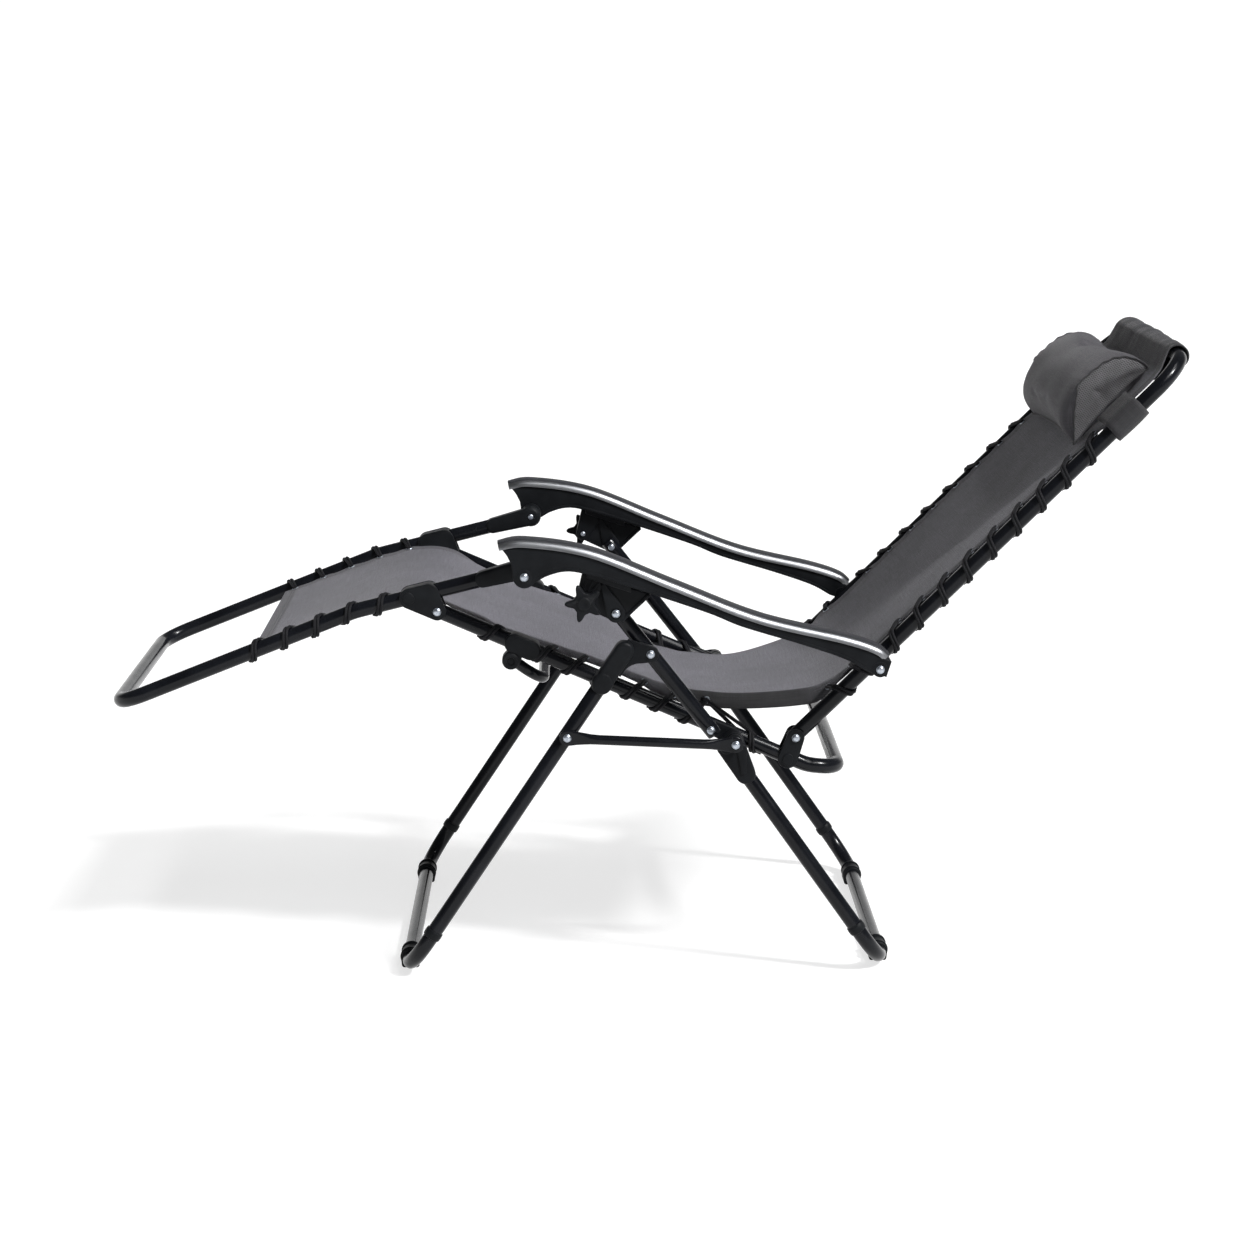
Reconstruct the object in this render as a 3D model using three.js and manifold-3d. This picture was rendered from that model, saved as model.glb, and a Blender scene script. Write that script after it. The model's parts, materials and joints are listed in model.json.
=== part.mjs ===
// Zero gravity recliner: a folding garden lounger on two crossed leg frames.
// Millimetres, +Z up. +X runs from the feet to the head, +Y to the sitter's right.
// The origin is on the floor, below the middle of the outline.
import * as THREE from 'three';
import { mergeVertices } from 'three/addons/utils/BufferGeometryUtils.js';
import Module from 'manifold-3d';

const wasm = await Module();
wasm.setup();

// ---- driving dimensions -------------------------------------------------------------------
const TUBE_R = 11; // powder-coated steel tube, 22 mm
const TUBE_SIDES = 12;
const CLEAR = 0.3; // gap between pieces that touch
const BOLT_R = 3;
const BOLT_HEAD_R = 5.8;
const BOLT_HEAD_H = 3.6;
const ORIGIN_X = 97.99; // side-view X of the outline's middle

// layers across the chair, as distances from the centre plane
const RAIL_Y = 246.5; // seat, footrest and backrest rails
const STRUT_Y = 279; // struts and rear legs
const FRONT_Y = 303; // front legs
const FORK = [231, 262]; // brackets that hold a rail end
const FORK_SLOT = [RAIL_Y - TUBE_R - CLEAR, RAIL_Y + TUBE_R + CLEAR];
const EAR = [259.3, 266.7]; // flat ear of the rear leg knuckle
const KNUCKLE = [264, 293];
const CAP = [290.4, 316];
const LUG_OUTER = 298;
const LINK = [314.4, 318.4]; // flattened ends of the link bars
const LINK_TUBE_Y = 320;
const LINK_TUBE_R = 7;
const ARM = [279, 323];
const ARM_WALL = 3;
const ARM_BAR = [293, 309]; // steel bar inside the armrest
const LOCK = [291.3, 312];
const SADDLE = [284, 318];
const KNOB = [324, 334];
const SLING_HALF = 226;
const SLING_T = 4;
const PILLOW_HALF = 200;

// pivots in the side view
const pivot = (x, z) => new THREE.Vector2(x - ORIGIN_X, z);
const FOOT_SEAT = pivot(-202, 530);
const FOOT_ARM = pivot(-77, 590);
const BACK_ARM = pivot(422, 457);
const BACK_SEAT = pivot(309, 345);
const LOCK_STRUT = pivot(51, 536);
const FRONT_STRUT = pivot(100, 475);
const FRONT_LINK = pivot(-18, 359);
const LINK_REAR = pivot(220, 348);
const STRUT_SEAT = pivot(186, 363);
const KNOB_AXIS = pivot(6, 554);

// tube corners and ends in the side view
const BAR_Z = 14; // ground bars, carried by the foot pads
const FRONT_BAR = pivot(-247.6, BAR_Z);
const FRONT_TOP = pivot(57.5, 475);
const REAR_BAR = pivot(436.3, BAR_Z);
const REAR_TOP = pivot(210.3, 335);
const FOOT_BEND = pivot(-320, 529);
const FOOT_BAR = pivot(-661, 394);
const SEAT_BEND = pivot(325, 303);
const SEAT_BAR = pivot(372, 296);
const BACK_LENGTH = 766;
const BACK_ANGLE = THREE.MathUtils.degToRad(44.66);
const TUBE_END = 7; // a tube runs this far past the pivot at its end

// ---- materials ----------------------------------------------------------------------------
const material = (color, roughness, metalness) =>
  new THREE.MeshStandardMaterial({ color, roughness, metalness });
const steelBlack = material(0x14161a, 0.28, 0.6);
const plasticBlack = material(0x1d1f22, 0.6, 0);
const zinc = material(0xb9bdc0, 0.3, 1);
const textile = material(0x6e6c72, 0.9, 0);
const pillowCloth = material(0x5c5a60, 0.92, 0);
const webbing = material(0x2c2b30, 0.9, 0);
const elastic = material(0x17171a, 0.85, 0);

// ---- solids -------------------------------------------------------------------------------
function solid(geometry) {
  const bare = geometry.clone();
  bare.deleteAttribute('normal');
  bare.deleteAttribute('uv');
  const merged = mergeVertices(bare, 1e-4);
  return new wasm.Manifold(new wasm.Mesh({
    numProp: 3,
    vertProperties: new Float32Array(merged.attributes.position.array),
    triVerts: new Uint32Array(merged.index.array),
  }));
}

const chair = new THREE.Group();
function add(name, body, look) {
  const mesh = body.getMesh();
  const geometry = new THREE.BufferGeometry();
  geometry.setAttribute('position', new THREE.BufferAttribute(mesh.vertProperties, 3));
  geometry.setIndex(new THREE.BufferAttribute(mesh.triVerts, 1));
  geometry.computeVertexNormals();
  const node = new THREE.Mesh(geometry, look);
  node.name = name;
  chair.add(node);
}

const sideName = (side) => (side < 0 ? 'left' : 'right');
// a layer [inner, outer] on one side of the chair, as [low y, high y]
const layer = (side, [inner, outer]) => (side < 0 ? [-outer, -inner] : [inner, outer]);

// A side-view outline made solid between two values of y.
function plate(outline, [low, high], curveSegments = 3) {
  const shape = outline instanceof THREE.Shape ? outline : new THREE.Shape(outline);
  const geometry = new THREE.ExtrudeGeometry(shape, {
    depth: high - low, bevelEnabled: false, curveSegments,
  });
  geometry.rotateX(Math.PI / 2).translate(0, high, 0);
  return solid(geometry);
}

// A round pin or hole along y.
function pin({ x, y: z }, radius, [low, high], sides = 12) {
  const geometry = new THREE.CylinderGeometry(radius, radius, high - low, sides);
  geometry.translate(x, (low + high) / 2, z);
  return solid(geometry);
}

// The convex outline round a set of discs [centre, radius].
function discHull(discs, arcPoints = 16) {
  const points = discs.flatMap(([centre, radius]) => Array.from({ length: arcPoints }, (_, i) => {
    const angle = (i / arcPoints) * 2 * Math.PI;
    return new THREE.Vector2(centre.x + radius * Math.cos(angle), centre.y + radius * Math.sin(angle));
  }));
  points.sort((a, b) => a.x - b.x || a.y - b.y);
  const turn = (o, a, b) => (a.x - o.x) * (b.y - o.y) - (a.y - o.y) * (b.x - o.x);
  const half = (list) => {
    const chain = [];
    for (const point of list) {
      while (chain.length > 1 && turn(chain.at(-2), chain.at(-1), point) <= 1e-6) chain.pop();
      chain.push(point);
    }
    return chain.slice(0, -1);
  };
  return [...half(points), ...half(points.toReversed())];
}

// The outline of a band of even thickness along a side-view line.
function band(line, halfThickness) {
  const offset = (side) => line.map((point, i) => {
    const before = line[Math.max(i - 1, 0)];
    const after = line[Math.min(i + 1, line.length - 1)];
    const along = after.clone().sub(before).normalize();
    return point.clone().add(new THREE.Vector2(-along.y, along.x).multiplyScalar(side * halfThickness));
  });
  return [...offset(-1), ...offset(1).reverse()];
}

// A path that passes through its stations, one ring of a tube at each.
class StationPath extends THREE.Curve {
  constructor(stations) {
    super();
    this.stations = stations;
  }

  getPoint(t) {
    const place = t * (this.stations.length - 1);
    const i = Math.min(Math.floor(place + 1e-9), this.stations.length - 2);
    return this.stations[i].clone().lerp(this.stations[i + 1], place - i);
  }

  getPointAt(u) {
    return this.getPoint(u);
  }

  getTangentAt(u) {
    const last = this.stations.length - 1;
    const i = Math.round(u * last);
    const before = this.stations[Math.max(i - 1, 0)];
    const after = this.stations[Math.min(i + 1, last)];
    const here = this.stations[i];
    const into = here.clone().sub(before).normalize();
    const out = after.clone().sub(here).normalize();
    return into.add(out).normalize();
  }
}

function tube(stations, radius, sides = TUBE_SIDES) {
  const ring = Array.from({ length: sides }, (_, i) => {
    const angle = (i / sides) * 2 * Math.PI;
    return new THREE.Vector2(radius * Math.cos(angle), radius * Math.sin(angle));
  });
  return solid(new THREE.ExtrudeGeometry(new THREE.Shape(ring), {
    steps: stations.length - 1, bevelEnabled: false, extrudePath: new StationPath(stations),
  }));
}

// Corners [point, radius] joined by straight runs, with an arc at each inner corner.
function rounded(corners, arcSteps = 5) {
  const stations = [];
  corners.forEach(([point, radius], i) => {
    if (i === 0 || i === corners.length - 1 || !radius) {
      stations.push(point.clone());
      return;
    }
    const back = corners[i - 1][0].clone().sub(point).normalize();
    const ahead = corners[i + 1][0].clone().sub(point).normalize();
    const halfAngle = back.angleTo(ahead) / 2;
    const centre = back.clone().add(ahead).normalize()
      .multiplyScalar(radius / Math.sin(halfAngle)).add(point);
    const reach = radius / Math.tan(halfAngle);
    const start = point.clone().addScaledVector(back, reach).sub(centre);
    const end = point.clone().addScaledVector(ahead, reach).sub(centre);
    const sweep = start.angleTo(end);
    for (let k = 0; k <= arcSteps; k += 1) {
      const t = k / arcSteps;
      const spoke = start.clone().multiplyScalar(Math.sin((1 - t) * sweep) / Math.sin(sweep))
        .addScaledVector(end, Math.sin(t * sweep) / Math.sin(sweep));
      stations.push(spoke.add(centre));
    }
  });
  return stations;
}

const at = ({ x, y: z }, y) => new THREE.Vector3(x, y, z);
const past = (from, to, extra) => to.clone().add(to.clone().sub(from).setLength(extra));

// A U of tube: its side-view corners run from the open end to the cross bar.
function uPath(corners, halfWidth) {
  const left = corners.map(([point, radius]) => [at(point, -halfWidth), radius]);
  const right = corners.map(([point, radius]) => [at(point, halfWidth), radius]).reverse();
  return rounded([...left, ...right]);
}

function bolt(name, place, side, headSeat, tip) {
  const length = headSeat - tip;
  const profile = [[0, 0], [BOLT_R, 0], [BOLT_R, length], [BOLT_HEAD_R, length],
    [BOLT_HEAD_R * 0.8, length + BOLT_HEAD_H * 0.75], [0, length + BOLT_HEAD_H]];
  const geometry = new THREE.LatheGeometry(profile.map(([r, h]) => new THREE.Vector2(r, h)), 10);
  geometry.translate(0, tip, 0);
  if (side < 0) geometry.rotateX(Math.PI);
  geometry.translate(place.x, 0, place.y);
  add(`${name}_${sideName(side)}`, solid(geometry), zinc);
}

const drill = (body, place, side, span, radius = BOLT_R + CLEAR) =>
  body.subtract(pin(place, radius, layer(side, span)));

// ---- rails and legs -----------------------------------------------------------------------
const SIDES = [-1, 1];
const backDirection = new THREE.Vector2(Math.cos(BACK_ANGLE), Math.sin(BACK_ANGLE));
const backNormal = new THREE.Vector2(-backDirection.y, backDirection.x);
// a point on the backrest, by its distance up from the pivot and out from the rail plane
const onBack = (up, out) => BACK_SEAT.clone().addScaledVector(backDirection, up)
  .addScaledVector(backNormal, out);
const BACK_BAR = onBack(BACK_LENGTH, 0);

const footCorners = [[past(FOOT_BEND, FOOT_ARM, -2), 0], [FOOT_BEND, 150], [FOOT_BAR, 44]];
const seatCorners = [[past(SEAT_BEND, FOOT_SEAT, TUBE_END), 0], [SEAT_BEND, 60], [SEAT_BAR, 38]];
const backCorners = [[onBack(-TUBE_END, 0), 0], [BACK_BAR, 62]];
const footPath = uPath(footCorners, RAIL_Y);
const seatPath = uPath(seatCorners, RAIL_Y);
const backPath = uPath(backCorners, RAIL_Y);
const frontPath = uPath([[FRONT_TOP, 0], [FRONT_BAR, 55]], FRONT_Y);
const rearPath = uPath([[REAR_TOP, 0], [REAR_BAR, 55]], STRUT_Y);

const OPEN_HOLE_R = 6.6; // clearance hole where the armrest's bolt enters the footrest rail
const RAIL_SPAN = [RAIL_Y - TUBE_R - 1, RAIL_Y + TUBE_R + 1];

function footrestFrame() {
  let frame = tube(footPath, TUBE_R);
  for (const side of SIDES) {
    frame = frame.add(pin(FOOT_ARM, 16, layer(side, [236, ARM[0] - CLEAR]), 20));
    frame = drill(frame, FOOT_ARM, side, [246, ARM[0] + 1], OPEN_HOLE_R);
  }
  add('footrest_frame', frame, steelBlack);
}

function seatFrame() {
  let frame = tube(seatPath, TUBE_R);
  for (const side of SIDES) {
    frame = frame.add(pin(STRUT_SEAT, 8, layer(side, [RAIL_Y, EAR[0] - CLEAR])));
    frame = drill(frame, FOOT_SEAT, side, RAIL_SPAN);
    frame = drill(frame, STRUT_SEAT, side, [RAIL_SPAN[0], EAR[0] + 1]);
  }
  add('seat_frame', frame, steelBlack);
}

function backrestFrame() {
  let frame = tube(backPath, TUBE_R);
  for (const side of SIDES) {
    frame = frame.add(pin(BACK_ARM, 9.5, layer(side, [RAIL_Y, ARM[0] - CLEAR])));
    frame = drill(frame, BACK_ARM, side, [RAIL_SPAN[0], ARM[0] + 1]);
    frame = drill(frame, BACK_SEAT, side, RAIL_SPAN);
  }
  add('backrest_frame', frame, steelBlack);
}

function legFrames() {
  add('front_leg_frame', tube(frontPath, TUBE_R), steelBlack);
  add('rear_leg_frame', tube(rearPath, TUBE_R), steelBlack);
}

function strut(side) {
  const ends = [past(STRUT_SEAT, LOCK_STRUT, TUBE_END), past(LOCK_STRUT, STRUT_SEAT, TUBE_END)];
  let body = tube(ends.map((end) => at(end, side * STRUT_Y)), TUBE_R);
  for (const place of [LOCK_STRUT, FRONT_STRUT, STRUT_SEAT]) {
    body = drill(body, place, side, [STRUT_Y - TUBE_R - 1, STRUT_Y + TUBE_R + 1]);
  }
  add(`strut_${sideName(side)}`, body, steelBlack);
}

// A link bar is a thin tube with its two ends pressed flat.
function legLink(side) {
  const along = LINK_REAR.clone().sub(FRONT_LINK).normalize();
  const flat = (place, reach) => plate(
    discHull([[place, 11.5], [place.clone().addScaledVector(along, reach), 8]]),
    layer(side, LINK),
  );
  const stations = [FRONT_LINK.clone().addScaledVector(along, 20),
    LINK_REAR.clone().addScaledVector(along, -20)].map((point) => at(point, side * LINK_TUBE_Y));
  let body = tube(stations, LINK_TUBE_R).add(flat(FRONT_LINK, 30)).add(flat(LINK_REAR, -30));
  for (const place of [FRONT_LINK, LINK_REAR]) {
    body = drill(body, place, side, [LINK[0] - 1, LINK[1] + 1]);
  }
  add(`leg_link_${sideName(side)}`, body, steelBlack);
}

// ---- plastic joints -----------------------------------------------------------------------
function frontLegCap(side) {
  const along = FRONT_TOP.clone().sub(FRONT_BAR).normalize();
  const low = FRONT_TOP.clone().addScaledVector(along, -50);
  const high = FRONT_TOP.clone().addScaledVector(along, 9);
  const lug = plate(discHull([[FRONT_STRUT, 12], [FRONT_TOP, 14]]), layer(side, [CAP[0], LUG_OUTER]));
  const body = plate(discHull([[low, 13.6], [high, 13.6]]), layer(side, CAP)).add(lug)
    .subtract(tube([at(past(FRONT_TOP, low, 40), side * FRONT_Y),
      at(past(FRONT_BAR, FRONT_TOP, CLEAR), side * FRONT_Y)], TUBE_R + CLEAR));
  add(`front_leg_cap_${sideName(side)}`, drill(body, FRONT_STRUT, side, [CAP[0] - 1, LUG_OUTER + 1]),
    plasticBlack);
}

function rearLegKnuckle(side) {
  const along = REAR_TOP.clone().sub(REAR_BAR).normalize();
  const low = REAR_TOP.clone().addScaledVector(along, -45);
  const high = REAR_TOP.clone().addScaledVector(along, 4);
  const ear = plate(discHull([[STRUT_SEAT, 11], [LINK_REAR, 12]]), layer(side, EAR));
  const boss = pin(LINK_REAR, 10.5, layer(side, [KNUCKLE[0], LINK[0] - CLEAR]));
  let body = plate(discHull([[low, 14.2], [high, 13.6], [LINK_REAR, 12]]), layer(side, KNUCKLE))
    .add(ear).add(boss)
    .subtract(tube([at(past(REAR_TOP, low, 40), side * STRUT_Y),
      at(past(REAR_BAR, REAR_TOP, CLEAR), side * STRUT_Y)], TUBE_R + CLEAR));
  body = drill(body, LINK_REAR, side, [STRUT_Y - 2, LINK[0] + 1]);
  body = drill(body, STRUT_SEAT, side, [EAR[0] - 1, EAR[1] + 1]);
  add(`rear_leg_knuckle_${sideName(side)}`, body, plasticBlack);
}

// A bracket clamped round one rail, with a fork that holds the end of another.
function forkBracket(name, side, pivotPoint, grips, railPath) {
  const discs = [[pivotPoint, 12.6], ...grips.map((grip) => [grip, 14.6])];
  const middle = grips.reduce((sum, grip) => sum.add(grip), new THREE.Vector2())
    .divideScalar(grips.length);
  const away = pivotPoint.clone().sub(middle).normalize();
  const slot = [[pivotPoint, 13.6], [pivotPoint.clone().addScaledVector(away, 40), 40]];
  let body = plate(discHull(discs), layer(side, FORK))
    .subtract(plate(discHull(slot, 24), layer(side, FORK_SLOT)))
    .subtract(tube(railPath, TUBE_R + CLEAR));
  body = drill(body, pivotPoint, side, [FORK[0] - 1, FORK[1] + 1]);
  add(`${name}_${sideName(side)}`, body, plasticBlack);
}

function footPad(name, place, legY, side) {
  const PAD = [legY - 98, legY - 58];
  const foot = (dx) => [new THREE.Vector2(place.x + dx, 4), 4];
  const body = plate(discHull([[place, BAR_Z], foot(-9), foot(9)]), layer(side, PAD))
    .subtract(pin(place, TUBE_R + CLEAR, layer(side, [PAD[0] - 1, PAD[1] + 1]), TUBE_SIDES));
  add(`${name}_${sideName(side)}`, body, plasticBlack);
}

// ---- spreader bar under the front of the seat -----------------------------------------------
const onSeatRail = (x) => {
  const run = SEAT_BEND.clone().sub(FOOT_SEAT);
  return FOOT_SEAT.clone().addScaledVector(run, (x - ORIGIN_X - FOOT_SEAT.x) / run.x);
};

function spreaderBar() {
  const BOW_R = 8;
  const eye = pivot(-98, 458);
  const dip = pivot(-52, 424);
  const bow = rounded([[at(eye, -240), 0], [at(dip, -240), 40], [at(dip, 240), 40], [at(eye, 240), 0]]);
  let body = tube(bow, BOW_R, 10);
  for (const side of SIDES) {
    const grip = discHull([[onSeatRail(-93), 14.6], [onSeatRail(-70), 14.6], [eye, 12.6]]);
    body = body.add(plate(grip, layer(side, [FORK[0] + 1.5, FORK[1] - 1])));
  }
  add('spreader_bar', body.subtract(tube(seatPath, TUBE_R + CLEAR)), plasticBlack);
}

// ---- armrests and locks ---------------------------------------------------------------------
const ARM_SLOPE = Math.tan(THREE.MathUtils.degToRad(-18.5));
const onArmBar = (x, up = 0) => pivot(x, 608 + ARM_SLOPE * x + up);
const armBarLine = [FOOT_ARM, onArmBar(-20), onArmBar(235), pivot(330, 504), BACK_ARM];

function armOutline() {
  const top = [pivot(-76, 646), pivot(18, 631), pivot(134, 584.5), pivot(254, 537), pivot(372, 508.5),
    pivot(420, 492.5), pivot(440, 477)];
  const bottom = [pivot(372, 472), pivot(313, 492.5), pivot(228, 518.5), pivot(175, 540), pivot(56, 580),
    pivot(4, 595), pivot(-22, 597.5), pivot(-46, 591), pivot(-60, 583)];
  const shape = new THREE.Shape();
  shape.moveTo(pivot(-115, 641).x, 641);
  shape.splineThru(top);
  shape.lineTo(pivot(441, 468).x, 468);
  shape.lineTo(pivot(432, 444).x, 444);
  shape.lineTo(pivot(403, 455).x, 455);
  shape.splineThru(bottom);
  shape.absarc(FOOT_ARM.x, FOOT_ARM.y, 16, THREE.MathUtils.degToRad(-30), Math.PI, true);
  shape.lineTo(pivot(-99, 621).x, 621);
  shape.lineTo(pivot(-117, 633).x, 633);
  return shape;
}

function armrest(side) {
  const channel = [onArmBar(-30, -30), onArmBar(150, -30), onArmBar(150, 12), onArmBar(-30, 12)];
  let body = plate(armOutline(), layer(side, ARM), 2)
    .subtract(plate(channel, layer(side, [ARM[0] + ARM_WALL, ARM[1] - ARM_WALL])));
  const barLine = [past(armBarLine[1], armBarLine[0], 9), ...armBarLine.slice(1, -1),
    past(armBarLine[3], armBarLine[4], 9)];
  body = body.subtract(plate(band(barLine, 6 + 2 * CLEAR),
    layer(side, [ARM_BAR[0] - CLEAR, ARM_BAR[1] + CLEAR])));
  for (const place of [FOOT_ARM, BACK_ARM]) {
    body = drill(body, place, side, [ARM[0] - 1, ARM[1] + 1]);
  }
  add(`armrest_${sideName(side)}`, body, plasticBlack);
}

function armBar(side) {
  const ends = [past(armBarLine[1], armBarLine[0], 6), ...armBarLine.slice(1, -1),
    past(armBarLine[3], armBarLine[4], 6)];
  let body = plate(band(ends, 6), layer(side, ARM_BAR));
  for (const place of [FOOT_ARM, BACK_ARM]) {
    body = drill(body, place, side, [ARM_BAR[0] - 1, ARM_BAR[1] + 1]);
  }
  add(`arm_bar_${sideName(side)}`, body, steelBlack);
}

function lockHousing(side) {
  const wedge = discHull([[LOCK_STRUT, 13], [onArmBar(30, -15), 3], [onArmBar(96, -15), 3]]);
  const clamp = discHull([[KNOB_AXIS, 11], [onArmBar(7, -16), 4], [onArmBar(32, -16), 4]]);
  const saddle = [onArmBar(10, -17), onArmBar(72, -17), onArmBar(72, 7), onArmBar(10, 7)];
  const slot = [onArmBar(0, -10), onArmBar(80, -10), onArmBar(80, 20), onArmBar(0, 20)];
  let body = plate(wedge, layer(side, LOCK)).add(plate(clamp, layer(side, LOCK)))
    .add(plate(saddle, layer(side, SADDLE)))
    .subtract(plate(slot, layer(side, [ARM_BAR[0] - CLEAR, ARM_BAR[1] + CLEAR])));
  body = drill(body, LOCK_STRUT, side, [LOCK[0] - 1, LOCK[1] + 1]);
  body = drill(body, KNOB_AXIS, side, [LOCK[0] + 4, LOCK[1] + 1], 4 + CLEAR);
  add(`lock_housing_${sideName(side)}`, body, plasticBlack);
}

function lockKnob(side) {
  const LOBES = 5;
  const FIRST_LOBE = THREE.MathUtils.degToRad(38);
  const outline = Array.from({ length: LOBES * 10 }, (_, i) => {
    const angle = (i / (LOBES * 10)) * 2 * Math.PI;
    const radius = 17 + 10.5 * (0.5 + 0.5 * Math.cos(LOBES * (angle - FIRST_LOBE))) ** 1.6;
    return new THREE.Vector2(KNOB_AXIS.x + radius * Math.cos(angle),
      KNOB_AXIS.y + radius * Math.sin(angle));
  });
  const body = plate(outline, layer(side, KNOB))
    .add(pin(KNOB_AXIS, 10, layer(side, [LOCK[1] + CLEAR, KNOB[0]])))
    .add(pin(KNOB_AXIS, 4, layer(side, [LOCK[0] + 5, LOCK[1] + 1])))
    .add(pin(KNOB_AXIS, 9, layer(side, [KNOB[1] - 1, KNOB[1] + 1.6])));
  add(`lock_knob_${sideName(side)}`, body, plasticBlack);
}

// ---- sling, pillow and strap ----------------------------------------------------------------
const BACK_LIFT = 9; // the sling lies this far in front of the backrest rails' plane
const slingSpan = [-SLING_HALF, SLING_HALF];

function slings() {
  const SHOULDER = 700; // above this the sling narrows to fit between the frame's bends
  const foot = [pivot(-466, 472), pivot(-340, 520), pivot(-240, 544), pivot(-215, 543)];
  const seat = [pivot(-186, 531), pivot(-107, 497), pivot(37, 448), pivot(113, 419), pivot(159, 407),
    pivot(203, 402), pivot(234, 401)];
  const back = [pivot(270, 402), pivot(310, 406), pivot(345, 414), onBack(110, BACK_LIFT + 4),
    onBack(150, BACK_LIFT), onBack(SHOULDER, BACK_LIFT)];
  const neck = [onBack(SHOULDER - 5, BACK_LIFT), onBack(BACK_LENGTH - 8, BACK_LIFT)];
  add('footrest_sling', plate(band(foot, SLING_T / 2), slingSpan), textile);
  add('seat_sling', plate(band(seat, SLING_T / 2), slingSpan), textile);
  // the top of the sling is a sleeve round the backrest's cross bar
  const SLEEVE = [-182, 182];
  const sleeve = pin(BACK_BAR, 14, SLEEVE, 20).subtract(pin(BACK_BAR, 11 + CLEAR, [-190, 190], 20));
  const sheet = plate(band(back, SLING_T / 2), slingSpan).add(plate(band(neck, SLING_T / 2), SLEEVE))
    .subtract(tube(backPath, TUBE_R + CLEAR));
  add('back_sling', sheet.add(sleeve), textile);
}

const PILLOW_UP = [569, 731];
function pillow() {
  const [low, high] = PILLOW_UP;
  const middle = (low + high) / 2;
  const REST = BACK_LIFT + SLING_T / 2 + 0.8;
  const RISE = 64;
  const face = Array.from({ length: 13 }, (_, i) => {
    const angle = Math.PI * (i / 12);
    return onBack(middle + ((high - low) / 2) * Math.cos(angle), REST + RISE * Math.sin(angle) ** 0.8);
  });
  add('head_pillow', plate(face, [-PILLOW_HALF, PILLOW_HALF]), pillowCloth);
}

function pillowStrap() {
  const STRAP_UP = [622, 678];
  const INSIDE = { y: 265.4, n: 18.9 };
  const T = 2;
  // the strap's loop, drawn across the backrest, then laid along it
  const loop = (extra, corner) => {
    const [w, h] = [INSIDE.y + extra, INSIDE.n + extra];
    const shape = new THREE.Shape();
    shape.moveTo(-w + corner, -h);
    shape.lineTo(w - corner, -h);
    shape.absarc(w - corner, -h + corner, corner, -Math.PI / 2, 0, false);
    shape.absarc(w - corner, h - corner, corner, 0, Math.PI / 2, false);
    shape.absarc(-w + corner, h - corner, corner, Math.PI / 2, Math.PI, false);
    shape.absarc(-w + corner, -h + corner, corner, Math.PI, 1.5 * Math.PI, false);
    return shape;
  };
  const lay = (shape, [from, to]) => {
    const geometry = new THREE.ExtrudeGeometry(shape, {
      depth: to - from, bevelEnabled: false, curveSegments: 5,
    });
    const across = new THREE.Vector3(0, 1, 0);
    const out = new THREE.Vector3(backNormal.x, 0, backNormal.y);
    const up = new THREE.Vector3().crossVectors(across, out);
    geometry.applyMatrix4(new THREE.Matrix4().makeBasis(across, out, up));
    const start = onBack(up.dot(new THREE.Vector3(backDirection.x, 0, backDirection.y)) > 0 ? from : to, 0);
    return solid(geometry.translate(start.x, 0, start.y));
  };
  const MOUTH = PILLOW_HALF + 1; // the strap's ends are sewn into the pillow's ends
  const gap = new THREE.Shape([[-MOUTH, 0], [MOUTH, 0], [MOUTH, 40], [-MOUTH, 40]]
    .map(([y, n]) => new THREE.Vector2(y, n)));
  const strap = lay(loop(T, 17), STRAP_UP).subtract(lay(loop(0, 15), [STRAP_UP[0] - 5, STRAP_UP[1] + 5]))
    .subtract(lay(gap, [STRAP_UP[0] - 5, STRAP_UP[1] + 5]));
  add('pillow_strap', strap, webbing);
}

// ---- elastic lacing -------------------------------------------------------------------------
// Each cord winds once round the rail at every eyelet and runs along the sling's edge between.
const CORD_R = 2.2;
const WIND_R = 16.2;
const EDGE = RAIL_Y - SLING_HALF - CORD_R - 1; // cord's place beside the sling, in from the rail

function lacing(name, side, winds) {
  const stations = winds.flatMap(({ place, along, lift, lean = 0 }) => {
    const normal = new THREE.Vector2(-along.y, along.x);
    const spot = (out, up, shift) => at(place.clone().addScaledVector(along, shift)
      .addScaledVector(normal, up), side * (RAIL_Y + out));
    const around = Array.from({ length: 5 }, (_, i) => {
      const angle = THREE.MathUtils.degToRad(125 - 67.5 * i);
      return spot(WIND_R * Math.cos(angle), WIND_R * Math.sin(angle), -4 + 2 * i);
    });
    return [spot(-EDGE, lift, lean - 5), ...around, spot(-EDGE, Math.min(lift, 4), lean + 5)];
  });
  add(`${name}_${sideName(side)}`, tube(stations, CORD_R, 4), elastic);
}

const steps = (from, pitch, count) => Array.from({ length: count }, (_, i) => from + pitch * i);
const direction = (from, to) => to.clone().sub(from).normalize();

function lacings(side) {
  const footAlong = direction(FOOT_BAR, FOOT_BEND);
  lacing('footrest_lacing', side, steps(216, 48, 5).map((run) => ({
    place: run < 367 ? FOOT_BAR.clone().addScaledVector(footAlong, run)
      : FOOT_BEND.clone().addScaledVector(direction(FOOT_BEND, FOOT_ARM), run - 367),
    along: run < 340 ? footAlong : direction(FOOT_BEND, FOOT_ARM),
    lift: 2,
  })));
  const seatAlong = direction(FOOT_SEAT, SEAT_BEND);
  const seatWind = (run, lift, lean) => (
    { place: FOOT_SEAT.clone().addScaledVector(seatAlong, run), along: seatAlong, lift, lean });
  lacing('seat_lacing', side, [
    ...[84, 163, 209, 255, 301, 347, 391].map((run, i) => seatWind(run, 6 + 3 * i, 0)),
    seatWind(487, 44, -50)]);
  lacing('back_lacing', side, [95, 137, ...steps(198, 48, 9)].map((run) => (
    { place: onBack(run, 0), along: backDirection, lift: BACK_LIFT })));
}

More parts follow.
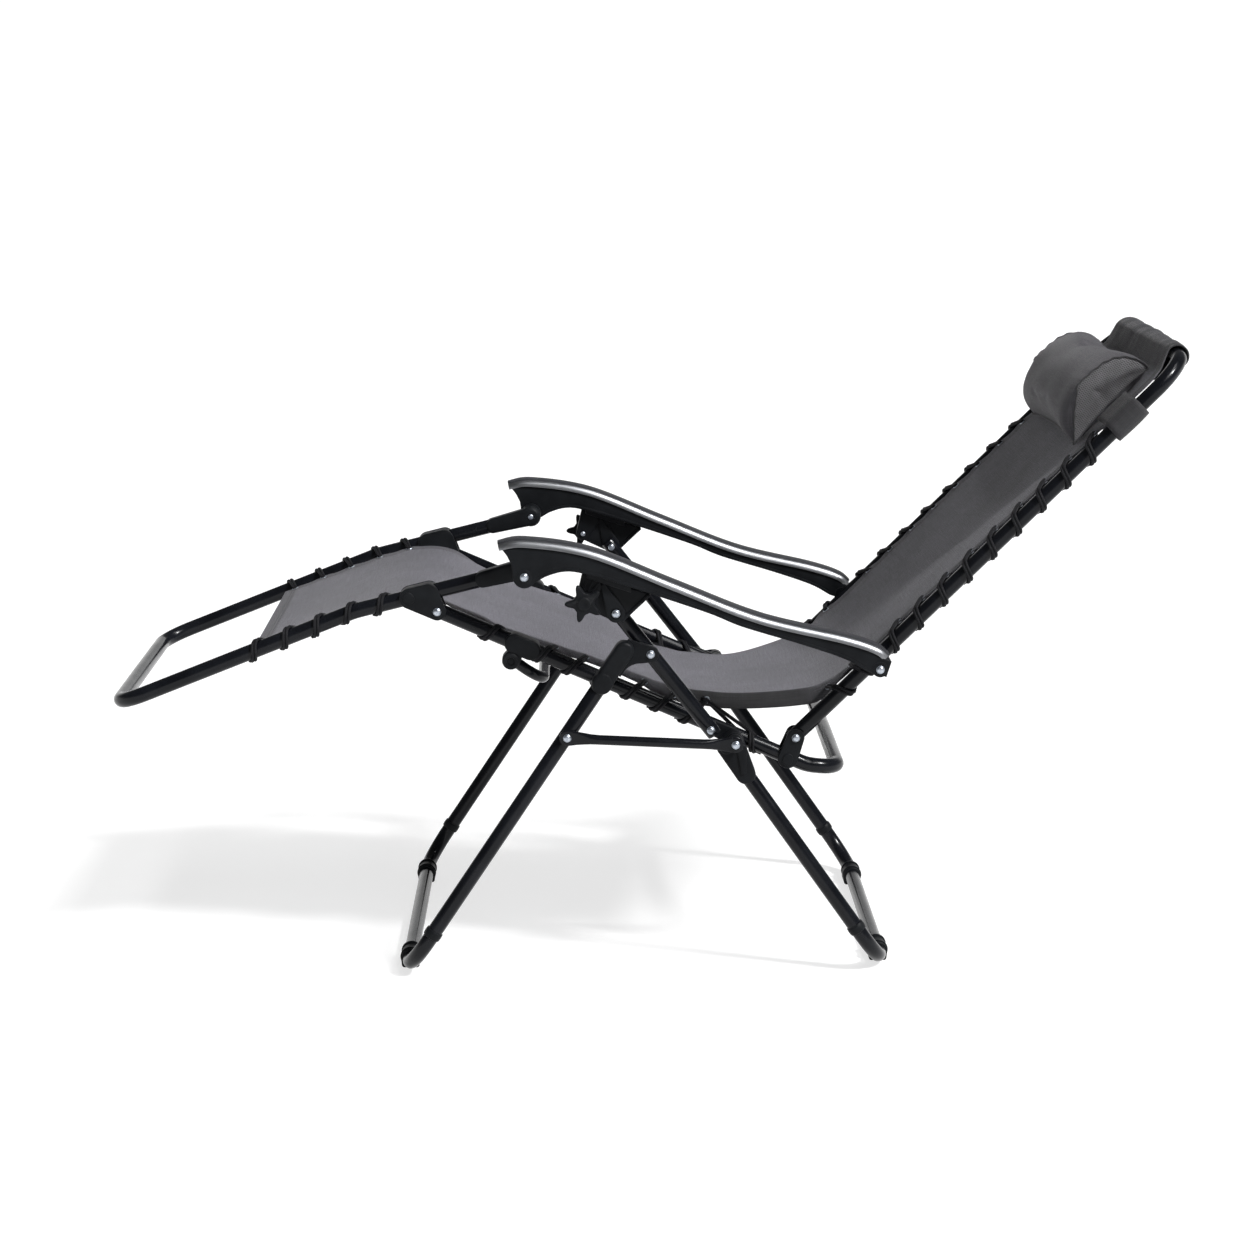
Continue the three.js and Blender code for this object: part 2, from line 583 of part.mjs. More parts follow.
// ---- assembly -------------------------------------------------------------------------------
footrestFrame();
seatFrame();
backrestFrame();
legFrames();
spreaderBar();
slings();
pillow();
pillowStrap();
for (const side of SIDES) {
  strut(side);
  legLink(side);
  frontLegCap(side);
  rearLegKnuckle(side);
  forkBracket('footrest_bracket', side, FOOT_SEAT, [pivot(-241, 548.9), pivot(-214, 555.7)], footPath);
  forkBracket('backrest_bracket', side, BACK_SEAT, [onSeatRail(298)], seatPath);
  footPad('front_foot_pad', FRONT_BAR, FRONT_Y, side);
  footPad('rear_foot_pad', REAR_BAR, STRUT_Y, side);
  armrest(side);
  armBar(side);
  lockHousing(side);
  lockKnob(side);
  lacings(side);
  bolt('footrest_seat_bolt', FOOT_SEAT, side, FORK[1] + CLEAR, 238);
  bolt('footrest_arm_bolt', FOOT_ARM, side, ARM[1] + CLEAR, 250);
  bolt('backrest_arm_bolt', BACK_ARM, side, ARM[1] + CLEAR, 250);
  bolt('backrest_seat_bolt', BACK_SEAT, side, FORK[1] + CLEAR, 238);
  bolt('lock_bolt', LOCK_STRUT, side, LOCK[1] + CLEAR, 270);
  bolt('front_leg_bolt', FRONT_STRUT, side, LUG_OUTER + CLEAR, 270);
  bolt('front_link_bolt', FRONT_LINK, side, LINK[1] + CLEAR, LINK[0]);
  bolt('rear_link_bolt', LINK_REAR, side, LINK[1] + CLEAR, 280);
  bolt('seat_pivot_bolt', STRUT_SEAT, side, STRUT_Y + TUBE_R + CLEAR, 238);
}

export default chair;
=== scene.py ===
"""Zero gravity recliner: the looks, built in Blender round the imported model.

Shapes are worked out in millimetres, in the model's frame, and scaled to metres as each mesh is made.
A place in the side view is a numpy pair (x, z); a place in space is (x, y, z).
"""
import json
import math

import bmesh
import bpy
import numpy as np
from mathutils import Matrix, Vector


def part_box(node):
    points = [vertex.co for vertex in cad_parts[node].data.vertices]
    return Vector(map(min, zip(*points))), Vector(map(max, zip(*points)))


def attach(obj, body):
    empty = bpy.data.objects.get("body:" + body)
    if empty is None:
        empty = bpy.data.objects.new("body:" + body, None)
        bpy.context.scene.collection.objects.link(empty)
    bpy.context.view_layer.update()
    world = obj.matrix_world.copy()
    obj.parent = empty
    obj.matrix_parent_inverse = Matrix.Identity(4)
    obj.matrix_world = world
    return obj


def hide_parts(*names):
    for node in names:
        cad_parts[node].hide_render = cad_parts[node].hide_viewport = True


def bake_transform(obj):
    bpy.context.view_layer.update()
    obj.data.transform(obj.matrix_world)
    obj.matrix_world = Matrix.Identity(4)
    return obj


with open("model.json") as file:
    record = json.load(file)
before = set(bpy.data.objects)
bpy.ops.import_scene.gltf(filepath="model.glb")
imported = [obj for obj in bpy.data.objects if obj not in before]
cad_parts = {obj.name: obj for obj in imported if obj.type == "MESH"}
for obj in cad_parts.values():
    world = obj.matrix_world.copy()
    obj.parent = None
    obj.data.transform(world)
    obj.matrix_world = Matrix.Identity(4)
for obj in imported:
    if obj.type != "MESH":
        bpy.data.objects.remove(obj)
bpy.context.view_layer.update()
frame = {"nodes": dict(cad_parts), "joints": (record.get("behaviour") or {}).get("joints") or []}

MM = 0.001
SIDES = (-1, 1)
SIDE_NAME = {-1: "left", 1: "right"}


# ---- places, from the frame ------------------------------------------------------------------
def joint_place(name):
    x, _, z = next(j for j in frame["joints"] if j["name"] == name)["pos_m"]
    return np.array([x, z]) / MM


def node_place(node):
    lo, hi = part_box(node)
    return np.array([lo.x + hi.x, lo.z + hi.z]) / 2 / MM


FOOT_SEAT = joint_place("footrest_tilt")
BACK_SEAT = joint_place("recline")
BACK_ARM = joint_place("armrest_swing")
LOCK_STRUT = joint_place("lock_tilt")
FRONT_STRUT = joint_place("front_leg_swing")
LINK_REAR = joint_place("link_swing")
STRUT_SEAT = joint_place("seat_tilt")
KNOB_AXIS = joint_place("knob_left_turn")
FOOT_ARM = node_place("footrest_arm_bolt_left")
FRONT_LINK = node_place("front_link_bolt_left")

ORIGIN_X = 97.99


def place(x, z):
    return np.array([x - ORIGIN_X, z], float)


# ---- driving sizes, as in the model ----------------------------------------------------------
TUBE_R = 11
RAIL_Y, STRUT_Y, FRONT_Y = 246.5, 279, 303
FORK = (231, 262)
EAR = (259.3, 266.7)
KNUCKLE = (264, 293)
CAP = (290.4, 316)
LUG_OUTER = 298
LINK = (314.4, 318.4)
ARM = (279, 323)
LOCK = (291.3, 312)
SADDLE = (284, 318)
KNOB = (324, 334)
GAP = 0.3

BAR_Z = 14
FRONT_BAR, FRONT_TOP = place(-247.6, BAR_Z), place(57.5, 475)
REAR_BAR, REAR_TOP = place(436.3, BAR_Z), place(210.3, 335)
FOOT_BEND, FOOT_BAR = place(-320, 529), place(-661, 394)
SEAT_BEND, SEAT_BAR = place(325, 303), place(372, 296)
BACK_LENGTH = 766
BACK_ANGLE = math.radians(44.66)
BACK_UP = np.array([math.cos(BACK_ANGLE), math.sin(BACK_ANGLE)])
BACK_OUT = np.array([-BACK_UP[1], BACK_UP[0]])
TUBE_END = 7


def on_back(up, out=0.0):
    """A place on the backrest: up from its pivot, and out from the rails' plane."""
    return BACK_SEAT + BACK_UP * up + BACK_OUT * out


# ---- lines ---------------------------------------------------------------------------------------
def unit(v):
    return v / np.linalg.norm(v)


def past(start, end, extra):
    return end + unit(end - start) * extra


def in_space(flat, y):
    return np.array([flat[0], y, flat[1]])


def left_of(v):
    """Flat vectors turned a quarter turn, from x towards z."""
    return np.stack([-v[..., 1], v[..., 0]], -1)


def sweep(start, end, count):
    """Angles between two in degrees."""
    return np.radians(np.linspace(start, end, count))


def full_turn(count):
    return np.linspace(0, 2 * math.pi, count, endpoint=False)


def circle(turns):
    return np.stack([np.cos(turns), np.sin(turns)], -1)


def headings(line):
    ahead = np.gradient(line, axis=0)
    return ahead / np.linalg.norm(ahead, axis=1)[:, None]


def interpolated(at, run, line):
    """Places on a line, for an array of distances along it."""
    return np.stack([np.interp(at, run, line[:, k]) for k in range(line.shape[1])], -1)


def rounded(corners, arc_steps=14):
    """Corners (point, radius) joined by straight runs, with an arc at each inner corner."""
    line = []
    for i, (point, radius) in enumerate(corners):
        if i in (0, len(corners) - 1) or not radius:
            line.append(point)
            continue
        back, ahead = unit(corners[i - 1][0] - point), unit(corners[i + 1][0] - point)
        half = math.acos(float(back @ ahead)) / 2
        centre = point + unit(back + ahead) * radius / math.sin(half)
        reach = radius / math.tan(half)
        start, end = point + back * reach - centre, point + ahead * reach - centre
        opening = math.pi - 2 * half
        for t in np.linspace(0, 1, arc_steps + 1):
            spoke = start * math.sin((1 - t) * opening) + end * math.sin(t * opening)
            line.append(centre + spoke / math.sin(opening))
    return np.array(line)


def u_path(corners, half_width):
    left = [(in_space(p, -half_width), r) for p, r in corners]
    right = [(in_space(p, half_width), r) for p, r in reversed(corners)]
    return rounded(left + right)


def spline(points, step):
    """A uniform Catmull-Rom line through the points, resampled about every step."""
    p = np.array(points, float)
    p = np.vstack([2 * p[0] - p[1], p, 2 * p[-1] - p[-2]])
    fine = []
    for i in range(1, len(p) - 2):
        t = np.linspace(0, 1, 24, endpoint=False)[:, None]
        a, b, c, d = p[i - 1:i + 3]
        fine.append(0.5 * (2 * b + (c - a) * t + (2 * a - 5 * b + 4 * c - d) * t**2
                           + (3 * b - a - 3 * c + d) * t**3))
    return even(np.vstack([*fine, p[-2:-1]]), step)


def lengths(line):
    return np.concatenate([[0], np.cumsum(np.linalg.norm(np.diff(line, axis=0), axis=1))])


def even(line, step):
    run = lengths(line)
    at = np.linspace(0, run[-1], max(2, round(run[-1] / step) + 1))
    return interpolated(at, run, line)


def disc_hull(discs, points=40):
    """The convex outline round a set of discs (centre, radius)."""
    ring = circle(full_turn(points))
    cloud = sorted(map(tuple, np.vstack([c + r * ring for c, r in discs]).round(6)))

    def chain(order):
        out = []
        for q in order:
            while len(out) > 1 and ((out[-1][0] - out[-2][0]) * (q[1] - out[-2][1])
                                    <= (out[-1][1] - out[-2][1]) * (q[0] - out[-2][0]) + 1e-6):
                out.pop()
            out.append(q)
        return out[:-1]

    return np.array(chain(cloud) + chain(cloud[::-1]))


def quads(rows, columns, closed=True, looped=False):
    """Faces between neighbouring rows of points, counted row by row."""
    faces = []
    for i in range(rows if looped else rows - 1):
        near, far = i * columns, (i + 1) % rows * columns
        for k in range(columns if closed else columns - 1):
            k2 = (k + 1) % columns
            faces.append([near + k, near + k2, far + k2, far + k])
    return faces


# ---- solids ----------------------------------------------------------------------------------------
class Shape:
    """Gathers closed bodies in millimetres, with a UV for each face corner, for one piece."""

    def __init__(self):
        self.verts, self.faces, self.uvs = [], [], []

    def add(self, verts, faces, uvs=None):
        base = len(self.verts)
        self.verts.extend(np.asarray(verts, float))
        self.faces.extend([[base + i for i in f] for f in faces])
        self.uvs.extend(uvs or [[(0.0, 0.0)] * len(f) for f in faces])
        return self

    def tube(self, path, radius, sides=32, soft_end=1.0, round_caps=True):
        """A round bar along a path. radius is a number or one for each point."""
        path = np.asarray(path, float)
        radius = np.broadcast_to(np.asarray(radius, float), len(path)).copy()
        if round_caps:
            head, tail = unit(path[1] - path[0]), unit(path[-1] - path[-2])
            path = np.vstack([path[0], path[0] + head * soft_end * 0.3, path[0] + head * soft_end,
                              path[1:-1], path[-1] - tail * soft_end, path[-1] - tail * soft_end * 0.3,
                              path[-1]])
            ends = [radius[0] - soft_end, radius[0] - soft_end * 0.3, radius[0]]
            other = [radius[-1], radius[-1] - soft_end * 0.3, radius[-1] - soft_end]
            radius = np.concatenate([ends, radius[1:-1], other])
        n = len(path)
        steps = np.diff(path, axis=0)
        steps /= np.maximum(np.linalg.norm(steps, axis=1), 1e-9)[:, None]
        tangent = np.vstack([steps[0], steps[:-1] + steps[1:], steps[-1]])
        tangent /= np.linalg.norm(tangent, axis=1)[:, None]
        side = np.cross(tangent[0], [0.0, 0.0, 1.0])
        if np.linalg.norm(side) < 0.1:
            side = np.cross(tangent[0], [0.0, 1.0, 0.0])
        turns = full_turn(sides)
        verts = []
        for i in range(n):
            side = unit(side - tangent[i] * (side @ tangent[i]))
            up = np.cross(tangent[i], side)
            verts.append(path[i] + radius[i] * (np.outer(np.cos(turns), side) + np.outer(np.sin(turns), up)))
        verts = np.vstack(verts)
        run = lengths(path) * MM
        girth = 2 * math.pi * float(radius.max()) * MM
        faces, uvs = [], []
        for i in range(n - 1):
            for k in range(sides):
                k2 = (k + 1) % sides
                faces.append([i * sides + k, i * sides + k2, (i + 1) * sides + k2, (i + 1) * sides + k])
                u, u2 = girth * k / sides, girth * (k + 1) / sides
                uvs.append([(u, run[i]), (u2, run[i]), (u2, run[i + 1]), (u, run[i + 1])])
        faces.append(list(range(sides))[::-1])
        faces.append([(n - 1) * sides + k for k in range(sides)])
        uvs += [[(0.0, 0.0)] * sides] * 2
        return self.add(verts, faces, uvs)

    def plate(self, outline, low, high, bevel=1.0, segments=3):
        """A side-view outline made solid between two values of y, with rounded rims."""
        bm = bmesh.new()
        ring = [bm.verts.new((x, low, z)) for x, z in outline]
        face = bm.faces.new(ring)
        out = bmesh.ops.extrude_face_region(bm, geom=[face])
        bmesh.ops.translate(bm, vec=(0, high - low, 0),
                            verts=[g for g in out["geom"] if isinstance(g, bmesh.types.BMVert)])
        bmesh.ops.recalc_face_normals(bm, faces=bm.faces)
        rims = [e for e in bm.edges if abs(e.verts[0].co.y - e.verts[1].co.y) < 1e-6]
        bmesh.ops.bevel(bm, geom=rims, offset=bevel, segments=segments, profile=0.5,
                        affect="EDGES", clamp_overlap=True)
        bm.verts.index_update()
        self.add([v.co[:] for v in bm.verts], [[v.index for v in f.verts] for f in bm.faces])
        bm.free()
        return self

    def plate_on(self, side, outline, span, bevel=1.0, segments=3):
        low, high = sorted((side * span[0], side * span[1]))
        return self.plate(outline, low, high, bevel, segments)

    def lathe(self, centre, side, profile, sides=36):
        """A turned body: its axis runs along y through centre, its profile is (distance from the
        chair's middle, radius) from one end on the axis to the other."""
        turns = full_turn(sides)
        verts, rows = [], []
        for y, r in profile:
            if r == 0:
                rows.append([len(verts)] * sides)
                verts.append((centre[0], side * y, centre[1]))
                continue
            rows.append(list(range(len(verts), len(verts) + sides)))
            verts += [(centre[0] + r * math.cos(t), side * y, centre[1] + r * math.sin(t)) for t in turns]
        faces = []
        for a, b in zip(rows[:-1], rows[1:]):
            for k in range(sides):
                k2 = (k + 1) % sides
                quad = list(dict.fromkeys([a[k], a[k2], b[k2], b[k]]))
                if len(quad) > 2:
                    faces.append(quad if side > 0 else quad[::-1])
        return self.add(verts, faces)

    def grid(self, rows, looped=False):
        """A skin from rows of points, each row a ring; its ends are capped or join each other."""
        rows = np.asarray(rows, float)
        n, m = rows.shape[:2]
        faces = [[a, d, c, b] for a, b, c, d in quads(n, m, looped=looped)]
        if not looped:
            faces += [list(range(m)), [(n - 1) * m + k for k in range(m)][::-1]]
        return self.add(rows.reshape(-1, 3), faces)

    def make(self, name, look, sharp=38):
        mesh = bpy.data.meshes.new(name)
        mesh.from_pydata([tuple(float(c) * MM for c in v) for v in self.verts], [], self.faces)
        layer = mesh.uv_layers.new(name="UVMap")
        flat = [c for face in self.uvs for uv in face for c in uv]
        layer.data.foreach_set("uv", flat)
        mesh.materials.append(look)
        bm = bmesh.new()
        bm.from_mesh(mesh)
        bmesh.ops.recalc_face_normals(bm, faces=bm.faces)
        bm.to_mesh(mesh)
        bm.free()
        mesh.shade_smooth()
        mesh.set_sharp_from_angle(angle=math.radians(sharp))
        mesh.validate()
        piece = bpy.data.objects.new(name, mesh)
        bpy.context.scene.collection.objects.link(piece)
        return piece


def fit(piece, body, *nodes):
    """The piece moves with a body and stands for some nodes."""
    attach(piece, body)
    if nodes:
        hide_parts(*nodes)
    return piece


# ---- camera, floor and light ------------------------------------------------------------------
LENS, SENSOR_WIDTH = 82.8, 36
EYE_AT = (-0.098, -4.270, 1.2774)
EYE_DOWN, EYE_TURN = 10.83, -0.92
FLOOR_HALF, FLOOR_GLOW = 40, 0.72
WORLD_LIGHT, WALL_LIGHT, FRONT_WALL = 0.12, 1.05, 0.35
STRIP_LIGHT = 16
STRIP_AXIS = (0.94, 0.34, 0.065)
KEY_LIGHT, KEY_SPREAD = 4.5, 8
KEY_FROM = (0.56, -0.42, 0.72)
WHITE = (1, 1, 1, 1)


def stage():
    scene = bpy.context.scene
    camera = bpy.data.cameras.new("camera")
    camera.lens, camera.sensor_width = LENS, SENSOR_WIDTH
    camera.clip_end = 100
    eye = bpy.data.objects.new("camera", camera)
    eye.location = EYE_AT
    eye.rotation_euler = (math.radians(90 - EYE_DOWN), 0, math.radians(EYE_TURN))
    scene.collection.objects.link(eye)
    scene.camera = eye

    floor = bpy.data.meshes.new("floor")
    s = FLOOR_HALF
    floor.from_pydata([(-s, -s, 0), (s, -s, 0), (s, s, 0), (-s, s, 0)], [], [(0, 1, 2, 3)])
    pale, _ = new_look("floor_pale", (0.35, 0.35, 0.35), 0.8, Specular_IOR_Level=0.1,
                       Emission_Strength=FLOOR_GLOW, Emission_Color=WHITE)
    floor.materials.append(pale)
    ground = bpy.data.objects.new("floor", floor)
    scene.collection.objects.link(ground)

    # a white wall round the floor, dimmer in front, a dim ceiling, and a soft strip above
    world = bpy.data.worlds.new("studio")
    world.use_nodes = True
    k = Nodes(world.node_tree, "Generated")
    east, north, height = k.axes()
    wall = k.times(k.span(height, 0.06, 0.22, 1.0, 0.0), k.span(north, -0.3, 0.4, FRONT_WALL, 1.0))
    rear = k.times(k.span(height, 0.27, 0.36, 1.0, 0.0), k.span(north, 0.6, 0.85))
    aside = k.minus(k.times(east, STRIP_AXIS[0]), k.times(height, STRIP_AXIS[1]))
    strip = k.span(k.maths("ABSOLUTE", k.minus(aside, STRIP_AXIS[2])), 0.02, 0.06, 1.0, 0.0)
    strip = k.times(k.times(strip, k.span(height, 0.55, 0.7)), k.span(north, 0.1, 0.0))
    bright = k.span(k.maths("MAXIMUM", wall, rear), 0, 1, WORLD_LIGHT, WALL_LIGHT)
    background = world.node_tree.nodes["Background"]
    background.inputs["Color"].default_value = WHITE
    k.feed(background.inputs["Strength"], k.plus(bright, k.times(strip, STRIP_LIGHT)))
    scene.world = world
    scene.view_settings.view_transform = "Standard"

    key = bpy.data.lights.new("key", "SUN")
    key.energy, key.angle = KEY_LIGHT, math.radians(KEY_SPREAD)
    sun = bpy.data.objects.new("key", key)
    sun.rotation_euler = (-Vector(KEY_FROM)).to_track_quat("-Z", "Y").to_euler()
    scene.collection.objects.link(sun)


# ---- looks ---------------------------------------------------------------------------------------
class Nodes:
    """Short calls for a node tree."""

    def __init__(self, tree, coords="Object"):
        self.tree = tree
        self.at = self.new("ShaderNodeTexCoord").outputs[coords]

    def new(self, kind, inputs=(), **values):
        n = self.tree.nodes.new(kind)
        for key, value in values.items():
            setattr(n, key, value)
        for socket, value in dict(inputs).items():
            self.feed(n.inputs[socket], value)
        return n

    def feed(self, socket, value):
        if isinstance(value, bpy.types.NodeSocket):
            self.tree.links.new(value, socket)
        else:
            socket.default_value = value

    def noise(self, scale, detail=3.0, roughness=0.55, at=None):
        inputs = {"Vector": at or self.at, "Scale": scale, "Detail": detail, "Roughness": roughness}
        return self.new("ShaderNodeTexNoise", inputs).outputs["Fac"]

    def maths(self, operation, a, b=0.0):
        return self.new("ShaderNodeMath", {0: a, 1: b}, operation=operation).outputs[0]

    def times(self, a, b):
        return self.maths("MULTIPLY", a, b)

    def plus(self, a, b):
        return self.maths("ADD", a, b)

    def minus(self, a, b):
        return self.maths("SUBTRACT", a, b)

    def span(self, value, low, high, to_low=0.0, to_high=1.0):
        inputs = {"Value": value, "From Min": low, "From Max": high, "To Min": to_low, "To Max": to_high}
        return self.new("ShaderNodeMapRange", inputs, clamp=True).outputs["Result"]

    def clouds(self, scale, to_low=0.0, to_high=1.0, detail=4, low=0.3):
        """Soft patches of noise between two values."""
        return self.span(self.noise(scale, detail), low, 0.7, to_low, to_high)

    def mix(self, factor, a, b):
        a, b = ((*v, 1) if isinstance(v, tuple) else v for v in (a, b))
        return self.new("ShaderNodeMix", {"Factor": factor, 6: a, 7: b}, data_type="RGBA").outputs[2]

    def stretch(self, scale):
        return self.new("ShaderNodeMapping", {"Vector": self.at, "Scale": scale}).outputs["Vector"]

    def axes(self):
        n = self.new("ShaderNodeSeparateXYZ", {0: self.at})
        return n.outputs["X"], n.outputs["Y"], n.outputs["Z"]

    def attribute(self, name):
        return self.new("ShaderNodeAttribute", attribute_name=name).outputs["Fac"]

    def ridges(self, value, pitch):
        """A smooth 0 to 1 wave with one crest for each pitch."""
        return self.span(self.maths("SINE", self.times(value, 2 * math.pi / pitch)), -1.0, 1.0)

    def bump(self, height, strength, distance):
        inputs = {"Height": height, "Strength": strength, "Distance": distance}
        return self.new("ShaderNodeBump", inputs).outputs["Normal"]

    def surface(self, color, roughness, normal):
        inputs = self.tree.nodes["Principled BSDF"].inputs
        for socket, value in (("Base Color", color), ("Roughness", roughness), ("Normal", normal)):
            self.feed(inputs[socket], value)


def new_look(name, color, roughness, metallic=0.0, coords="Object", **sockets):
    look = bpy.data.materials.new(name)
    look.use_nodes = True
    shader = look.node_tree.nodes["Principled BSDF"]
    values = {"Base Color": (*color, 1), "Roughness": roughness, "Metallic": metallic, **sockets}
    for socket, value in values.items():
        shader.inputs[socket.replace("_", " ")].default_value = value
    return look, Nodes(look.node_tree, coords)


def powder_coat():
    look, k = new_look("powder_coat", (0.006, 0.006, 0.008), 0.14, Specular_IOR_Level=0.2)
    patches = k.clouds(18, low=0.35)
    scuffs = k.span(k.noise(1.0, 6, 0.7, k.stretch((160, 160, 60))), 0.66, 0.76)
    color = k.mix(patches, (0.003, 0.0034, 0.0048), (0.006, 0.0068, 0.0090))
    k.surface(k.mix(k.times(scuffs, 0.25), color, (0.04, 0.041, 0.044)),
              k.plus(k.span(patches, 0, 1, 0.16, 0.25), k.times(scuffs, 0.2)),
              k.bump(k.noise(900, 2), 0.10, 0.0003))
    return look


def moulded_plastic():
    look, k = new_look("moulded_plastic", (0.004, 0.0045, 0.0055), 0.45, Specular_IOR_Level=0.1)
    edge = k.span(k.new("ShaderNodeNewGeometry").outputs["Pointiness"], 0.53, 0.62)
    worn = k.times(edge, k.span(k.noise(220, 3), 0.35, 0.75))
    color = k.mix(k.clouds(30), (0.004, 0.0045, 0.0055), (0.008, 0.009, 0.0105))
    k.surface(k.mix(k.times(worn, 0.5), color, (0.035, 0.036, 0.038)),
              k.clouds(60, 0.38, 0.54), k.bump(k.noise(1500, 3), 0.22, 0.0003))
    return look


def zinc_plate():
    look, k = new_look("zinc_plate", (0.45, 0.48, 0.53), 0.35, metallic=1.0)
    k.surface(k.mix(k.clouds(420, low=0.35), (0.36, 0.40, 0.46), (0.58, 0.61, 0.66)),
              k.clouds(300, 0.26, 0.45), k.bump(k.noise(1800, 2), 0.12, 0.0002))
    return look


def trim_silver():
    look, k = new_look("trim_silver", (0.42, 0.43, 0.45), 0.30, metallic=1.0)
    streaks = k.noise(1.0, 3, 0.6, k.stretch((9, 1400, 9)))
    k.surface(k.mix(k.span(streaks, 0.3, 0.7), (0.20, 0.205, 0.215), (0.28, 0.285, 0.30)),
              k.span(streaks, 0.3, 0.7, 0.36, 0.42), k.bump(streaks, 0.06, 0.0002))
    return look


def soft_pad():
    look, k = new_look("soft_pad", (0.03, 0.03, 0.033), 0.6, Specular_IOR_Level=0.2)
    cells = k.new("ShaderNodeTexVoronoi", {"Vector": k.at, "Scale": 620}, feature="DISTANCE_TO_EDGE")
    grain = k.span(cells.outputs["Distance"], 0.0, 0.25)
    tone = k.clouds(45)
    color = k.mix(tone, (0.020, 0.021, 0.025), (0.030, 0.031, 0.036))
    k.surface(k.mix(k.span(grain, 0, 1, 0.35, 0.0), color, (0.02, 0.02, 0.022)),
              k.span(tone, 0, 1, 0.5, 0.66), k.bump(grain, 0.35, 0.0003))
    return look


def stitches(k, reach, along, rows, pitch=0.0042, width=0.0007):
    """Dashed sewing lines at given distances in from an edge."""
    total = 0.0
    for row in rows:
        near = k.span(k.maths("ABSOLUTE", k.minus(reach, row)), width * 0.5, width, 1.0, 0.0)
        total = k.maths("MAXIMUM", total, near)
    return k.times(total, k.span(k.ridges(along, pitch), 0.25, 0.4))


def woven(name, warp, weft, pitch, edge_band=0.0, mottle=0.18, strength=0.5, depth=0.0006):
    """A plain weave on UVs in metres: warp threads run along V, weft threads along U."""
    rough, slub = 0.75, 0.25
    look, k = new_look(name, warp, rough, coords="UV", Sheen_Weight=0.08, Sheen_Roughness=0.5)
    u, v, _ = k.axes()
    over = k.ridges(k.plus(u, v), 2 * pitch)
    height = k.plus(k.times(k.ridges(u, pitch), k.span(over, 0.35, 0.65)),
                    k.times(k.ridges(v, pitch), k.span(over, 0.65, 0.35)))
    threads = k.noise(1.0, 3, 0.6, k.stretch((1 / pitch, 18, 1)))
    picks = k.noise(1.0, 3, 0.6, k.stretch((18, 1 / pitch, 1)))
    uneven = k.span(k.plus(threads, picks), 0.7, 1.3, 1 - slub, 1 + slub)
    value = k.times(k.span(height, 0.0, 0.55, 0.45, 1.0), uneven)
    value = k.times(value, k.clouds(7, 1 - mottle, 1 + mottle * 0.6, detail=5))
    if edge_band:
        reach = k.attribute("edge")
        # painted shade: the hem band along the sheet's edges is drawn at 0.62 of the cloth's value, standing
        # for the shade on the folded hem
        hem = k.span(reach, edge_band, edge_band + 0.0008)
        value = k.times(value, k.span(hem, 0, 1, 0.62, 1.0))
        # painted shade: the hanging flap is darkened where the armrest's shadow falls on it, and the sleeve
        # at the top is darkened too
        value = k.times(value, k.span(k.attribute("shade"), 0, 1, 1.0, 0.16))
    dimmed = k.new("ShaderNodeVectorMath", operation="SCALE")
    k.feed(dimmed.inputs[0], k.mix(k.span(over, 0.3, 0.7), weft, warp))
    k.feed(dimmed.inputs["Scale"], value)
    color = dimmed.outputs[0]
    if edge_band:
        stitch = stitches(k, reach, v, (edge_band - 0.003, edge_band - 0.0075))
        color = k.mix(stitch, color, (0.015, 0.015, 0.017))
        height = k.plus(height, k.times(stitch, 1.2))
    k.surface(color, k.span(uneven, 1 - slub, 1 + slub, rough + 0.08, rough - 0.08),
              k.bump(height, strength, depth))
    return look


def braided_cord():
    look, k = new_look("braided_cord", (0.008, 0.008, 0.009), 0.7, coords="UV", Specular_IOR_Level=0.15)
    u, v, _ = k.axes()
    plait = k.maths("MAXIMUM", k.ridges(k.plus(u, v), 0.0021), k.ridges(k.minus(u, v), 0.0021))
    fleck = k.span(k.noise(500, 2), 0.62, 0.7)
    color = k.mix(k.span(plait, 0.3, 1.0), (0.002, 0.002, 0.003), (0.013, 0.013, 0.015))
    k.surface(k.mix(k.times(fleck, 0.4), color, (0.035, 0.035, 0.039)),
              k.span(plait, 0, 1, 0.8, 0.6), k.bump(plait, 0.6, 0.0005))
    return look


def mesh_cloth(pitch=0.0030):
    """Open spacer mesh: rows of small round holes in a light net."""
    look, k = new_look("spacer_mesh", (0.16, 0.155, 0.165), 0.8, coords="UV", Sheen_Weight=0.1)
    u, v, _ = k.axes()
    holes = k.times(k.ridges(u, pitch), k.ridges(k.plus(v, k.times(u, 0.5)), pitch))
    net = k.span(holes, 0.25, 0.55, 1.0, 0.0)
    thread = k.mix(k.clouds(60, detail=3), (0.062, 0.061, 0.064), (0.092, 0.090, 0.095))
    k.surface(k.mix(net, (0.02, 0.019, 0.022), thread), k.span(net, 0, 1, 0.9, 0.7),
              k.bump(net, 0.7, 0.0007))
    return look


stage()
POWDER = powder_coat()
PLASTIC = moulded_plastic()
ZINC = zinc_plate()
SILVER = trim_silver()
PAD = soft_pad()
CORD = braided_cord()
TEXTILE = woven("textilene", (0.162, 0.158, 0.182), (0.082, 0.081, 0.095), 0.0016, edge_band=0.021)
PILLOW = woven("pillow_weave", (0.066, 0.063, 0.073), (0.042, 0.040, 0.047), 0.0011, mottle=0.12,
               strength=0.35, depth=0.0004)
MESH = mesh_cloth()
# painted shade: the dark cloth of the pillow's piping stands for the shadow line along its seams
PAINTED_SEAM_SHADE = woven("painted_seam_shade", (0.03, 0.029, 0.032), (0.02, 0.02, 0.022), 0.0010, mottle=0.1)
WEBBING = woven("webbing", (0.018, 0.0172, 0.021), (0.010, 0.0095, 0.012), 0.0013, mottle=0.12)


